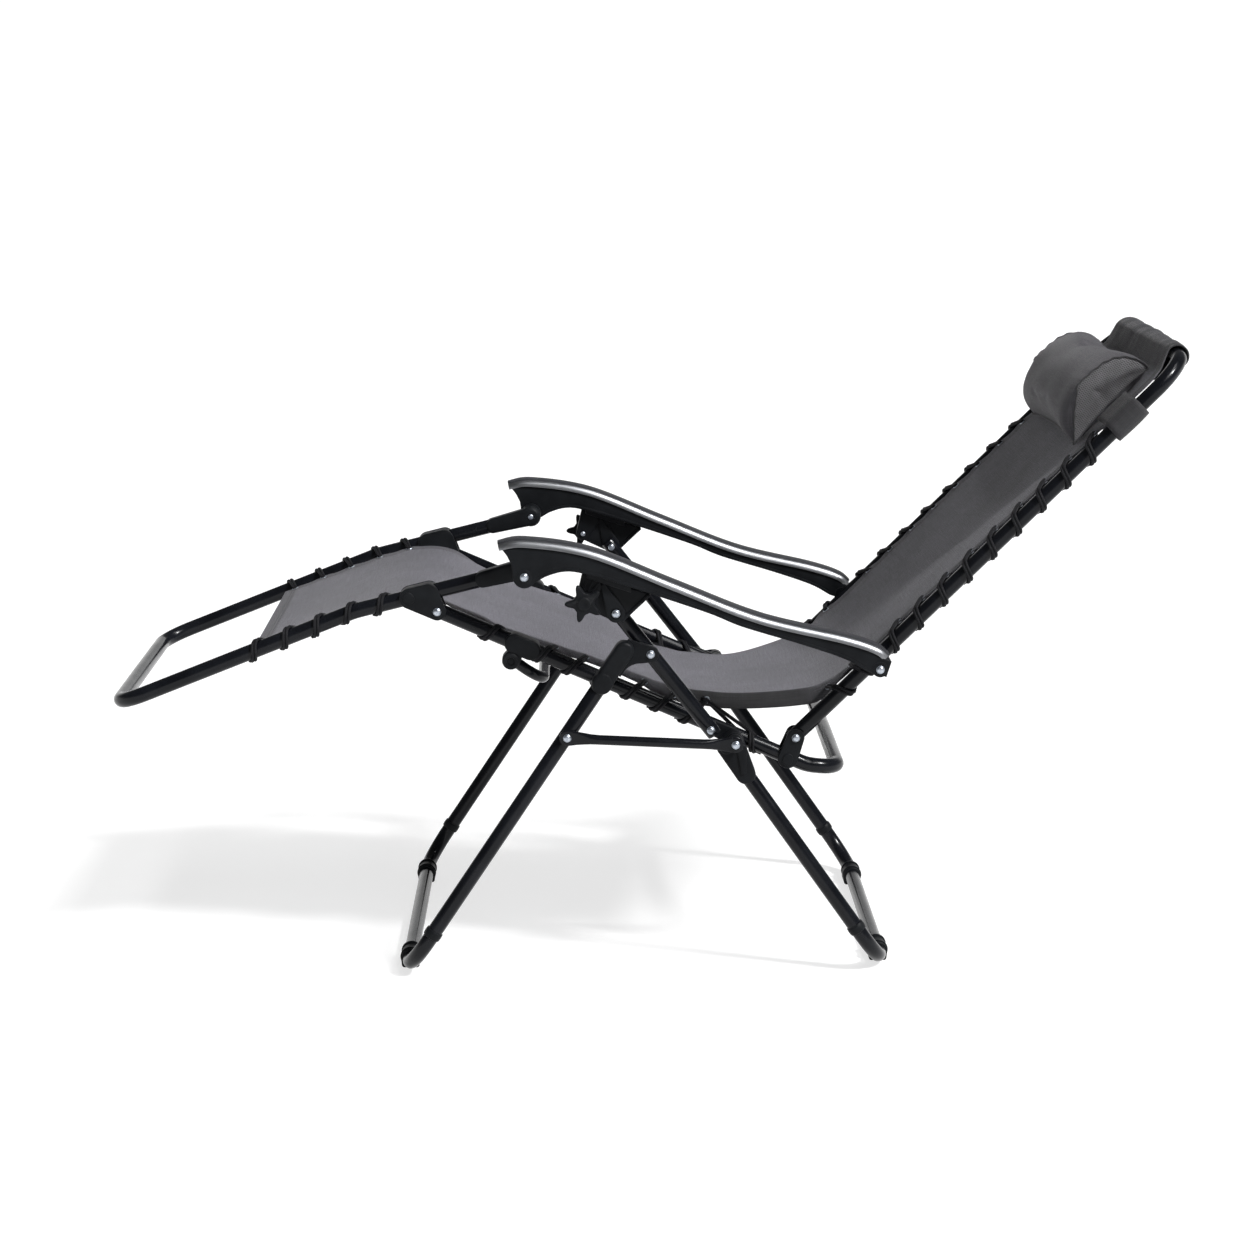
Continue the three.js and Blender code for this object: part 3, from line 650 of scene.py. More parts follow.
# ---- frames --------------------------------------------------------------------------------------
def frames():
    rows = [
        ("footrest", "footrest", RAIL_Y,
         [(past(FOOT_BEND, FOOT_ARM, -2), 0), (FOOT_BEND, 150), (FOOT_BAR, 44)]),
        ("seat", "seat", RAIL_Y,
         [(past(SEAT_BEND, FOOT_SEAT, TUBE_END), 0), (SEAT_BEND, 60), (SEAT_BAR, 38)]),
        ("backrest", "backrest", RAIL_Y, [(on_back(-TUBE_END), 0), (on_back(BACK_LENGTH), 62)]),
        ("front_leg", "front_legs", FRONT_Y, [(FRONT_TOP, 0), (FRONT_BAR, 55)]),
        ("rear_leg", "rear_legs", STRUT_Y, [(REAR_TOP, 0), (REAR_BAR, 55)]),
    ]
    # spigots on which the struts and the armrests turn
    spigots = {"seat": (STRUT_SEAT, 8, EAR[0] - GAP), "backrest": (BACK_ARM, 9.5, ARM[0] - GAP)}
    for label, body, half, corners in rows:
        frame_tube = Shape().tube(u_path(corners, half), TUBE_R)
        if label in spigots:
            centre, radius, end = spigots[label]
            for side in SIDES:
                frame_tube.lathe(centre, side, [(RAIL_Y, 0), (RAIL_Y, radius), (end, radius), (end, 0)])
        fit(frame_tube.make(f"{label}_tube", POWDER), body, f"{label}_frame")
    for side in SIDES:
        name = SIDE_NAME[side]
        ends = [past(STRUT_SEAT, LOCK_STRUT, TUBE_END + 3), past(LOCK_STRUT, STRUT_SEAT, TUBE_END + 3)]
        strut = Shape().tube(even(np.array([in_space(e, side * STRUT_Y) for e in ends]), 20), TUBE_R)
        fit(strut.make(f"strut_tube_{name}", POWDER), "struts", f"strut_{name}")
        # a plastic eye closes the end of each footrest rail at the armrest
        eye = Shape().lathe(FOOT_ARM, side, [(236, 0), (236, 13.5), (238, 15.6), (240, 16), (274, 16),
                                             (277, 15), (278.6, 12), (278.6, 0)])
        eye.plate_on(side, disc_hull([(FOOT_ARM, 14.5), (past(FOOT_BEND, FOOT_ARM, -62), 11.6)]),
                     (RAIL_Y - 12.4, RAIL_Y + 12.4), 5, 5)
        fit(eye.make(f"footrest_eye_{name}", PLASTIC), "footrest")


LINK_Y = 320
# half width and half thickness along a link, from its pressed end into the round middle
LINK_STATIONS = [(-11, 2, 1.6), (-9, 7.5, 1.9), (-5, 10.4, 2), (0, 11.5, 2), (6, 11, 2), (14, 9.6, 2),
                 (24, 8.4, 3), (34, 7.3, 5.4), (46, 7, 7)]


def link_bars():
    along = unit(LINK_REAR - FRONT_LINK)
    n = left_of(along)
    run = float(np.linalg.norm(LINK_REAR - FRONT_LINK))
    rows = LINK_STATIONS + [(run - s, w, t) for s, w, t in reversed(LINK_STATIONS)]
    c, q = circle(full_turn(24)).T
    for side in SIDES:
        flat_y = side * (LINK[0] + LINK[1]) / 2
        rings = []
        for s, w, t in rows:
            centre = FRONT_LINK + along * s
            blend = min(1.0, max(0.0, (t - 2) / 5))
            mid = flat_y + (side * LINK_Y - flat_y) * blend
            power = 0.45 + 0.55 * blend
            wide = w * np.sign(c) * np.abs(c) ** power
            deep = t * np.sign(q) * np.abs(q) ** power
            rings.append([(centre[0] + n[0] * a, mid + b, centre[1] + n[1] * a) for a, b in zip(wide, deep)])
        bar = Shape().grid(rings).make(f"link_tube_{SIDE_NAME[side]}", POWDER)
        fit(bar, "link_bars", f"leg_link_{SIDE_NAME[side]}")


# ---- bolts ---------------------------------------------------------------------------------------
HEAD_R, HEAD_H = 5.3, 3.2


def dome(shape, centre, side, seat, radius=HEAD_R, height=HEAD_H, outward=1):
    """A domed head with a washer under it, its seat at a distance from the chair's middle."""
    arc = np.linspace(0, math.pi / 2, 9)
    profile = [(0, 0), (0, radius + 0.5), (0.6, radius + 0.5), (0.9, radius + 0.2), (0.9, radius)]
    profile += [(0.9 + height * math.sin(a), radius * math.cos(a) ** 0.8) for a in arc[1:-1]]
    profile += [(0.9 + height, radius * 0.16), (0.5 + height, 0)]
    shape.lathe(centre, side, [(seat + outward * h, r) for h, r in profile])


def bolts():
    """(node, body, place, head seat, tail seat, tail's body)"""
    rows = [
        ("footrest_seat_bolt", "seat", FOOT_SEAT, FORK[1], FORK[0], "seat"),
        ("footrest_arm_bolt", "armrests", FOOT_ARM, ARM[1], 236, "footrest"),
        ("backrest_arm_bolt", "armrests", BACK_ARM, ARM[1], RAIL_Y - TUBE_R, "backrest"),
        ("backrest_seat_bolt", "seat", BACK_SEAT, FORK[1], FORK[0], "seat"),
        ("lock_bolt", "struts", LOCK_STRUT, LOCK[1], STRUT_Y - TUBE_R, "struts"),
        ("front_leg_bolt", "struts", FRONT_STRUT, LUG_OUTER, STRUT_Y - TUBE_R, "struts"),
        ("front_link_bolt", "link_bars", FRONT_LINK, LINK[1], FRONT_Y - TUBE_R, "front_legs"),
        ("rear_link_bolt", "rear_legs", LINK_REAR, LINK[1], KNUCKLE[0], "rear_legs"),
        ("seat_pivot_bolt", "struts", STRUT_SEAT, STRUT_Y + TUBE_R, RAIL_Y - TUBE_R, "seat"),
    ]
    for node, body, centre, seat, tail, tail_body in rows:
        for side in SIDES:
            name = SIDE_NAME[side]
            head = Shape()
            dome(head, centre, side, seat + 0.2)
            fit(head.make(f"{node}_head_{name}", ZINC), body, f"{node}_{name}")
            end = Shape()
            dome(end, centre, side, tail - 0.2, radius=4.6, height=2.4, outward=-1)
            fit(end.make(f"{node}_tail_{name}", ZINC), tail_body)


# ---- plastic joints ------------------------------------------------------------------------------
def on_seat_rail(x):
    run = SEAT_BEND - FOOT_SEAT
    return FOOT_SEAT + run * (x - ORIGIN_X - FOOT_SEAT[0]) / run[0]


def fork_bracket(name, side, pivot, grips, body, node):
    """Two cheeks hold a rail's end; between them a block is clamped round the other rail."""
    middle = sum(grips) / len(grips)
    towards = unit(middle - pivot)
    cheek = disc_hull([(pivot, 12.6), *((g, 14.6) for g in grips)])
    block = [(g, 14.0) for g in grips]
    if np.linalg.norm(middle - pivot) > 40:
        block.append((pivot + towards * 22, 9))
    shape = Shape()
    for span in ((RAIL_Y + TUBE_R + GAP, FORK[1]), (FORK[0], RAIL_Y - TUBE_R - GAP)):
        shape.plate_on(side, cheek, span, 1.4)
    shape.plate_on(side, disc_hull(block), (FORK[0] + 1, FORK[1] - 1), 2.2)
    pad = disc_hull([(grips[0], 7.5), (grips[0] + towards * 3, 7.5)])
    shape.plate_on(side, pad, (FORK[1] - 1, FORK[1] + 1.2), 1.0)
    fit(shape.make(name, PLASTIC), body, node)


CAP_R, KNUCKLE_R = 13.6, 12


def leg_fittings(side):
    name = SIDE_NAME[side]
    along = unit(FRONT_TOP - FRONT_BAR)
    low, high = FRONT_TOP - along * 50, FRONT_TOP + along * 9
    cap = Shape().plate_on(side, disc_hull([(low, CAP_R), (high, CAP_R)]), CAP, 5.5, 5)
    # the web that carries the hinge: flat on top, hollowed below
    round_end = FRONT_STRUT + 12 * circle(sweep(70, -100, 14))
    hollow = spline([place(90, 462), place(77, 460.5), place(66, 454), place(57, 442)], 3)
    web = np.vstack([[place(68, 496.5)], round_end, hollow, [place(44, 455)]])
    cap.plate_on(side, web, (CAP[0], LUG_OUTER), 1.5)
    cap.plate_on(side, disc_hull([(FRONT_TOP - along * 44, 14.6), (FRONT_TOP - along * 48, 14.6)]),
                 (CAP[0] - 0.6, CAP[1] + 0.8), 5.0, 4)
    fit(cap.make(f"front_leg_socket_{name}", PLASTIC), "front_legs", f"front_leg_cap_{name}")

    along = unit(REAR_TOP - REAR_BAR)
    low, high = REAR_TOP - along * 45, REAR_TOP + along * 4
    socket = disc_hull([(low, 14.2), (high, CAP_R), (LINK_REAR, KNUCKLE_R)])
    body = Shape().plate_on(side, socket, KNUCKLE, 4, 4)
    body.plate_on(side, disc_hull([(STRUT_SEAT, 11), (LINK_REAR, KNUCKLE_R)]), EAR, 1.2)
    body.plate_on(side, disc_hull([(LINK_REAR, 12.5), (high, 9)]), (KNUCKLE[1] - 3, KNUCKLE[1] + 5), 2.4, 4)
    body.lathe(LINK_REAR, side, [(KNUCKLE[0], 0), (KNUCKLE[0], 11), (300, 11.6), (LINK[0] - 2, 11.6),
                                 (LINK[0] - GAP, 10.6), (LINK[0] - GAP, 0)])
    # a stiffening rib runs down the socket's outer face
    rib_top, rib_end = LINK_REAR - along * 14 + np.array([2.0, 0]), low + along * 6
    body.plate_on(side, disc_hull([(rib_top, 7.2), (rib_end, 4.2)]),
                  (KNUCKLE[1] - 2, KNUCKLE[1] + 2.4), 1.8, 4)
    fit(body.make(f"rear_leg_socket_{name}", PLASTIC), "rear_legs", f"rear_leg_knuckle_{name}")


SOLE_R, SOLE_HALF = 4, 9
CLIP_UP, CLIP_R = (60, 66, 72), [12.6, 13.0, 12.6]


def foot_pads(side):
    name = SIDE_NAME[side]
    for end, centre, leg_y, body in (("front", FRONT_BAR, FRONT_Y, "front_legs"),
                                     ("rear", REAR_BAR, STRUT_Y, "rear_legs")):
        sole = [(np.array([centre[0] + side_x * SOLE_HALF, SOLE_R]), SOLE_R) for side_x in SIDES]
        outline = disc_hull([(centre, BAR_Z - 0.05), *sole])
        pad = Shape().plate_on(side, outline, (leg_y - 98, leg_y - 58), 1.6, 4)
        for rim in (leg_y - 94, leg_y - 66):
            pad.plate_on(side, disc_hull([(centre + (0, 1.2), BAR_Z + 1.1)]), (rim, rim + 4), 1.0)
        fit(pad.make(f"{end}_pad_{name}", PLASTIC), body, f"{end}_foot_pad_{name}")
        # a plastic clip rings the leg tube where it turns down to the ground bar
        top = FRONT_TOP if end == "front" else REAR_TOP
        up = unit(top - centre)
        clip = Shape().tube([in_space(centre + up * t, side * leg_y) for t in CLIP_UP], CLIP_R)
        fit(clip.make(f"{end}_clip_{name}", PLASTIC), body)


SPREADER_HALF, SPREADER_R = 240, 8


def spreader():
    eye, dip = place(-98, 458), place(-52, 424)
    bow = Shape().tube(u_path([(eye, 0), (dip, 40)], SPREADER_HALF), SPREADER_R, 28)
    fit(bow.make("spreader_bow", POWDER), "seat", "spreader_bar")
    for side in SIDES:
        grips = [(on_seat_rail(-93), 14.2), (on_seat_rail(-70), 14.2)]
        clamp = Shape().plate_on(side, disc_hull(grips), (FORK[0] + 1, FORK[1] - 1), 2.5, 4)
        clamp.plate_on(side, disc_hull([(eye, 12.8), (on_seat_rail(-84), 8)]),
                       (FORK[0] + 2, FORK[1] - 2), 3, 4)
        plug = [(FORK[1] - 3, 0), (FORK[1] - 3, 11.6), (FORK[1] - 0.4, 11.6), (FORK[1] + 0.8, 10.6),
                (FORK[1] + 0.8, 6.2), (FORK[1] - 1.6, 5.6), (FORK[1] - 1.6, 0)]
        clamp.lathe(eye, side, plug)
        fit(clamp.make(f"spreader_clamp_{SIDE_NAME[side]}", PLASTIC), "seat")


# ---- armrests and locks --------------------------------------------------------------------------
ARM_MID = sum(ARM) / 2
ARM_TOP = [place(-119, 640), place(-76, 646), place(18, 631), place(134, 584.5), place(254, 537),
           place(372, 508.5), place(420, 492.5), place(440, 477)]
ARM_UNDER = [place(403, 455), place(372, 472), place(313, 492.5), place(228, 518.5), place(175, 540),
             place(56, 580), place(4, 595), place(-22, 597.5), place(-46, 591), place(-60, 583)]
ARM_SLOPE = math.tan(math.radians(-18.5))
# the clear channel round the bar inside the skirt: from, to, and its height over the bar's middle
CHANNEL = (-30, 150, 12)
PAD_HALF = 17.6


def on_arm_bar(x, up=0.0):
    return place(x, 608 + ARM_SLOPE * x + up)


def clipped(outline, start, keep_side):
    """The part of a closed outline on one side of a line."""
    kept = []
    for a, b in zip(outline, np.roll(outline, -1, axis=0)):
        da, db = float((a - start) @ keep_side), float((b - start) @ keep_side)
        if da >= 0:
            kept.append(a)
        if da * db < 0:
            kept.append(a + (b - a) * da / (da - db))
    return np.array(kept)


def arm_sweep(side, line, profile, taper):
    """Sweeps (across, depth) profile points along the armrest's top line."""
    rows = []
    for p, down, narrow in zip(line, -left_of(headings(line)), taper):
        rows.append([(p[0] + down[0] * d, side * ARM_MID + side * w * narrow, p[1] + down[1] * d)
                     for w, d in profile])
    return rows


def armrest(side):
    name = SIDE_NAME[side]
    line = spline(ARM_TOP, 4)
    run = lengths(line)
    share = run / run[-1]
    ends = 1 - 0.35 * np.exp(-run / 9) - 0.18 * np.exp(-(run[-1] - run) / 12)
    # soft top pad: crowned, a little narrower than the trim below it
    pad = [(PAD_HALF * math.cos(a), 5.6 - 3.6 * math.sin(a) ** 0.6) for a in np.linspace(0, math.pi, 19)]
    pad += [(-PAD_HALF, 9.4), (PAD_HALF, 9.4)]
    # bright trim: a channel that holds the pad, its rounded sides showing on both sides of the arm
    arc = sweep(84, 14, 12)
    right = [(21.6, 14.2), *((15.2 + 8 * math.sin(a), 15 - 10.6 * math.cos(a)) for a in arc),
             (16.6, 5.4), (16.6, 9.0)]
    trim = right + [(-w, d) for w, d in reversed(right)]
    for label, profile, look in (("pad", pad, PAD), ("trim", trim, SILVER)):
        strip = Shape().grid(arm_sweep(side, line[1:-1], profile, ends[1:-1]))
        fit(strip.make(f"armrest_{label}_{name}", look, 60), "armrests")
    # black skirt: from under the trim down to the arched lower edge
    under_trim = line - left_of(headings(line)) * 14.6
    keep = (share > 0.02) & (share < 0.975)
    below = spline(ARM_UNDER, 7)
    boss = FOOT_ARM + 16 * circle(sweep(-30, -180, 16))
    outline = np.vstack([under_trim[keep], [place(438, 468), place(431, 446)], below, boss,
                         [place(-93.5, 597), place(-95, 608), place(-101, 620), place(-107, 628)]])
    skirt = Shape()
    cheeks = (ARM[0] + 1, SADDLE[0] - 0.6), (SADDLE[1] + 0.6, ARM[1] - 1)
    for cheek in cheeks:
        skirt.plate_on(side, outline, cheek, 1.2)
    # between the cheeks the core leaves a channel free round the bar that the lock clamps
    core = (cheeks[0][1] - 1, cheeks[1][0] + 1)
    slope = unit(on_arm_bar(100) - on_arm_bar(0))
    for start, keep_side in ((on_arm_bar(CHANNEL[0]), -slope), (on_arm_bar(CHANNEL[1]), slope),
                             (on_arm_bar(0, CHANNEL[2]), left_of(slope))):
        skirt.plate_on(side, clipped(outline, start, keep_side), core, 0.3, 1)
    # a raised rail runs along the skirt's lower edge
    for edge in (ARM[0] + 0.2, ARM[1] - 2.2):
        inset = np.vstack([below + np.array([0, 1.0]), (below + np.array([0, 5.0]))[::-1]])
        skirt.plate_on(side, inset, (edge, edge + 2.0), 0.6, 2)
    for centre in (FOOT_ARM, BACK_ARM):
        skirt.lathe(centre, side, [(ARM[0] + 0.5, 0), (ARM[0] + 0.5, 11), (ARM[1] - 0.6, 11),
                                   (ARM[1] - 0.1, 10), (ARM[1] - 0.1, 0)])
    fit(skirt.make(f"armrest_skirt_{name}", PLASTIC), "armrests", f"armrest_{name}")


def arm_bar(side):
    node = frame["nodes"][f"arm_bar_{SIDE_NAME[side]}"]
    node.data.materials.clear()
    node.data.materials.append(POWDER)


def lock(side):
    name = SIDE_NAME[side]
    web = disc_hull([(LOCK_STRUT, 13), (on_arm_bar(30, -15), 3), (on_arm_bar(96, -15), 3)])
    clamp = disc_hull([(KNOB_AXIS, 11), (on_arm_bar(7, -16), 4), (on_arm_bar(32, -16), 4)])
    saddle = np.array([on_arm_bar(10, -17), on_arm_bar(72, -17), on_arm_bar(72, 2), on_arm_bar(10, 2)])
    body = Shape().plate_on(side, web, (LOCK[0] + 3, LOCK[1] - 4), 1.6)
    body.plate_on(side, disc_hull([(LOCK_STRUT, 13), (on_arm_bar(30, -15), 3)]), LOCK, 1.6)
    body.plate_on(side, clamp, LOCK, 2.0)
    for low, high in ((SADDLE[0], 292.4), (309.6, SADDLE[1])):
        body.plate_on(side, saddle, (low, high), 1.4)
    # edge ribs of the web and upright ribs on the clamp
    rim = [on_arm_bar(96, -15), LOCK_STRUT + np.array([9.0, -9.5])]
    body.plate_on(side, disc_hull([(rim[0], 2.2), (rim[1], 2.2)]), (LOCK[0] + 1, LOCK[1] - 0.5), 0.8)
    for k in range(3):
        top = on_arm_bar(11 + 8 * k, -19)
        foot = top * 0.45 + (KNOB_AXIS + np.array([-5.0 + 5 * k, 6])) * 0.55
        body.plate_on(side, disc_hull([(top, 1.3), (foot, 1.3)]), (LOCK[1] - 1, LOCK[1] + 1.4), 0.6)
    body.plate_on(side, disc_hull([(KNOB_AXIS, 9), (LOCK_STRUT, 12), (on_arm_bar(40, -18), 5)]),
                  (LOCK[0] + 2, LOCK[1] - 5), 1.6)
    body.lathe(LOCK_STRUT, side, [(LOCK[0], 0), (LOCK[0], 8.4), (LOCK[1] - 1, 8.4), (LOCK[1], 7.6),
                                  (LOCK[1], 0)])
    fit(body.make(f"lock_body_{name}", PLASTIC), "locks", f"lock_housing_{name}")
    stud = Shape()
    dome(stud, KNOB_AXIS, side, LOCK[0] - 0.2, radius=3.4, height=1.8, outward=-1)
    fit(stud.make(f"knob_stud_{name}", ZINC), "locks")

    lobes, first = 5, math.radians(38)
    turns = full_turn(160)
    reach = 15.2 + 11.8 * (0.5 + 0.5 * np.cos(lobes * (turns - first))) ** 2.2
    star = KNOB_AXIS + reach[:, None] * circle(turns)
    knob = Shape().plate_on(side, star, KNOB, 2.6, 5)
    inner, outer = KNOB
    knob.lathe(KNOB_AXIS, side, [(LOCK[1] + GAP, 0), (LOCK[1] + GAP, 9.4), (inner - 3, 10.5), (inner + 1, 12),
                                 (inner + 1, 0)])
    knob.lathe(KNOB_AXIS, side, [(outer - 2, 0), (outer - 2, 9.4), (outer + 0.8, 9.2), (outer + 1.5, 8.4),
                                 (outer + 1.5, 4), (outer + 1.0, 3.2), (outer + 1.0, 0)])
    fit(knob.make(f"knob_star_{name}", PLASTIC), f"knob_{name}", f"lock_knob_{name}")


# ---- sling ---------------------------------------------------------------------------------------
SLING_HALF = 226
SLEEVE_HALF = 182
BACK_LIFT = 9
BAR_WRAP_R = TUBE_R + 6.2
EYELET_IN = 9.5
SHEET_T, HEM_T = 1.1, 0.7
SHEET_COLUMNS = 65
SAG, PUCKER = 7.5, 1.0
# how far the hem folds down, in degrees: along the seat, and more at its corner
FOLD_SEAT, FOLD_CORNER = 16, 66
# how near, in mm, an eyelet lies to the place on the rail where its cord winds
WIND_REACH = 90
BEND_TOP = BACK_LENGTH - 62


def sling_line():
    """The sheet's middle line in the side view, from the feet to its sewn end behind the top bar."""
    lower = [place(-466, 472), place(-400, 498), place(-340, 520), place(-285, 538), place(-240, 546),
             place(-202, 541), place(-160, 521), place(-107, 497), place(-35, 472.5), place(37, 448),
             place(80, 431), place(113, 419), place(159, 407), place(203, 402), place(234, 401),
             place(270, 402), place(310, 405), place(345, 411.5), on_back(110, BACK_LIFT + 4),
             on_back(150, BACK_LIFT), on_back(240, BACK_LIFT), on_back(400, BACK_LIFT),
             on_back(560, BACK_LIFT), on_back(700, BACK_LIFT), on_back(735, BACK_LIFT + 1)]
    line = spline(lower, 7)
    turns = sweep(100, -95, 22)
    wrap = [on_back(BACK_LENGTH + BAR_WRAP_R * math.cos(t), BAR_WRAP_R * math.sin(t)) for t in turns]
    tail = [on_back(BACK_LENGTH - 14, -BAR_WRAP_R + 0.5), on_back(BACK_LENGTH - 34, -BAR_WRAP_R + 5),
            on_back(BACK_LENGTH - 52, 1.5), on_back(BACK_LENGTH - 64, BACK_LIFT - 2.4)]
    return np.vstack([line, wrap, spline(tail, 6)])


LINE = sling_line()
RUN = lengths(LINE)


def line_at(run):
    return interpolated(run, RUN, LINE)


def run_at(point):
    return float(RUN[np.argmin(np.linalg.norm(LINE - point, axis=1))])


RUN_MID_SEAT = run_at(place(-35, 472.5))
RUN_DIP_START, RUN_DIP_MID = run_at(place(60, 438)), run_at(place(250, 401))
RUN_DIP_END = run_at(on_back(120, 10))
# the unloaded seat hangs lower towards its far side at the corner
CORNER_TILT = 27
RUN_TILT = [run_at(place(x, z)) for x, z in ((20, 454), (105, 422), (215, 401.5), (362, 424))]
RUN_FOOT_SEAT = run_at(FOOT_SEAT)
HEM = 24
RUN_NECK = run_at(on_back(BEND_TOP, BACK_LIFT))
RUN_SLEEVE = run_at(on_back(735, BACK_LIFT + 1))


def winds():
    """Where the cords wind round the rails: body, place on the rail, along it, and the eyelet's run."""
    foot_along, arm_along = unit(FOOT_BEND - FOOT_BAR), unit(FOOT_ARM - FOOT_BEND)
    seat_along = unit(SEAT_BEND - FOOT_SEAT)
    rows = []
    for k in range(5):
        d = 216 + 48 * k
        spot = FOOT_BAR + foot_along * d if d < 367 else FOOT_BEND + arm_along * (d - 367)
        rows.append(("footrest", spot, foot_along if d < 340 else arm_along, 12))
    for d, lean in [*((d, 14) for d in (84, 163, 209, 255, 301, 347, 391)), (487, -85)]:
        rows.append(("seat", FOOT_SEAT + seat_along * d, seat_along, lean))
    for d, lean in [(95, -12), (137, -10), *((198 + 48 * k, 21) for k in range(9))]:
        rows.append(("backrest", on_back(d), BACK_UP, lean))
    runs = np.arange(0, RUN_SLEEVE, 0.5)
    fine = line_at(runs)
    made = []
    for body, spot, along, lean in rows:
        offset = np.abs((fine - spot) @ along - lean)
        near = np.linalg.norm(fine - spot, axis=1) < WIND_REACH
        made.append((body, spot, along, float(runs[int(np.argmin(np.where(near, offset, 1e9)))])))
    return made


WINDS = winds()
EYELET_RUNS = np.array(sorted(w[3] for w in WINDS))


def smooth(t):
    t = np.clip(t, 0, 1)
    return t * t * (3 - 2 * t)


def eyelet_gap(run):
    return np.min(np.abs(np.subtract.outer(run, EYELET_RUNS)), axis=-1)


def half_width(run):
    """Half the sheet's width: it follows the bends at the top and is pulled out at each eyelet."""
    up = (line_at(run) - BACK_SEAT) @ BACK_UP
    rise = np.clip(up - BEND_TOP, 0, 44)
    neck = 184.5 - 3 + np.sqrt(45.0**2 - rise**2)
    half = np.where(run > RUN_NECK, np.minimum(SLING_HALF, neck), SLING_HALF)
    sleeve = SLEEVE_HALF + 4 * np.exp(-(run - RUN_SLEEVE) / 6)
    half = np.where(run > RUN_SLEEVE, np.minimum(half, sleeve), half)
    scallop = 1.6 * np.clip(eyelet_gap(run) / 24, 0, 1) ** 2
    return half - np.where(run < RUN_NECK - 20, scallop, 0)


def dip_at(run):
    """How far a place along the sheet belongs to its free corner between seat and backrest."""
    return smooth(1.6 * (run - RUN_DIP_START) / (RUN_DIP_MID - RUN_DIP_START)) * smooth(
        1.6 * (RUN_DIP_END - run) / (RUN_DIP_END - RUN_DIP_MID))


def sheet_point(run, y):
    """Points of the sheet's middle surface, for arrays of run and y."""
    ahead = line_at(run + 4) - line_at(run - 4)
    out = left_of(ahead / np.linalg.norm(ahead, axis=-1)[..., None])
    half = half_width(run)
    across = np.clip(np.abs(y) / half, 0, 1)
    on_body = smooth(run / 60) * smooth((RUN_NECK - run) / 90)
    sag = SAG * (1 - across**2) * on_body
    # along the seat the hem folds down, and at its corner, where nothing holds it, it hangs
    dip = dip_at(run)
    seated = smooth((run - RUN_FOOT_SEAT) / 70) * smooth((RUN_DIP_END - run) / 60)
    fold = np.radians(FOLD_SEAT * seated + FOLD_CORNER * dip)
    flap = np.clip(np.abs(y) - (half - HEM), 0, None)
    turned = smooth(flap / 7) * fold
    drop = flap * np.sin(turned)
    drawn_in = flap * (1 - np.cos(turned))
    tilt = CORNER_TILT * smooth((run - RUN_TILT[0]) / (RUN_TILT[1] - RUN_TILT[0])) * smooth(
        (RUN_TILT[3] - run) / (RUN_TILT[3] - RUN_TILT[2])) * np.clip((y + half) / (2 * half), 0, 1)
    near_eyelet = np.cos(np.pi * np.clip(eyelet_gap(run) / 22, 0, 1))
    pucker = PUCKER * near_eyelet * np.exp(-(half - np.abs(y)) / 26) * on_body
    sleeve = smooth((run - RUN_SLEEVE - 14) / 16)
    fade = 0.65 + 0.35 * np.sin(run / 19 + y / 43)
    crease = sleeve * (fade * (0.9 * np.sin(y / 5.3 + 1.7 * np.sin(y / 31)) + 1.3 * np.sin(y / 11.7 + 0.6))
                       + 8.0 * np.clip((y + 180) / 360, 0, 1))
    base = line_at(run) + out * (pucker - sag - drop - tilt + crease)[..., None]
    return np.stack([base[..., 0], y - np.sign(y) * drawn_in, base[..., 1]], -1), out


def paint(piece, name, values):
    """Stores one number for each point, for the look to read."""
    attribute = piece.data.attributes.new(name, "FLOAT", "POINT")
    attribute.data.foreach_set("value", np.asarray(values, np.float32).reshape(-1))


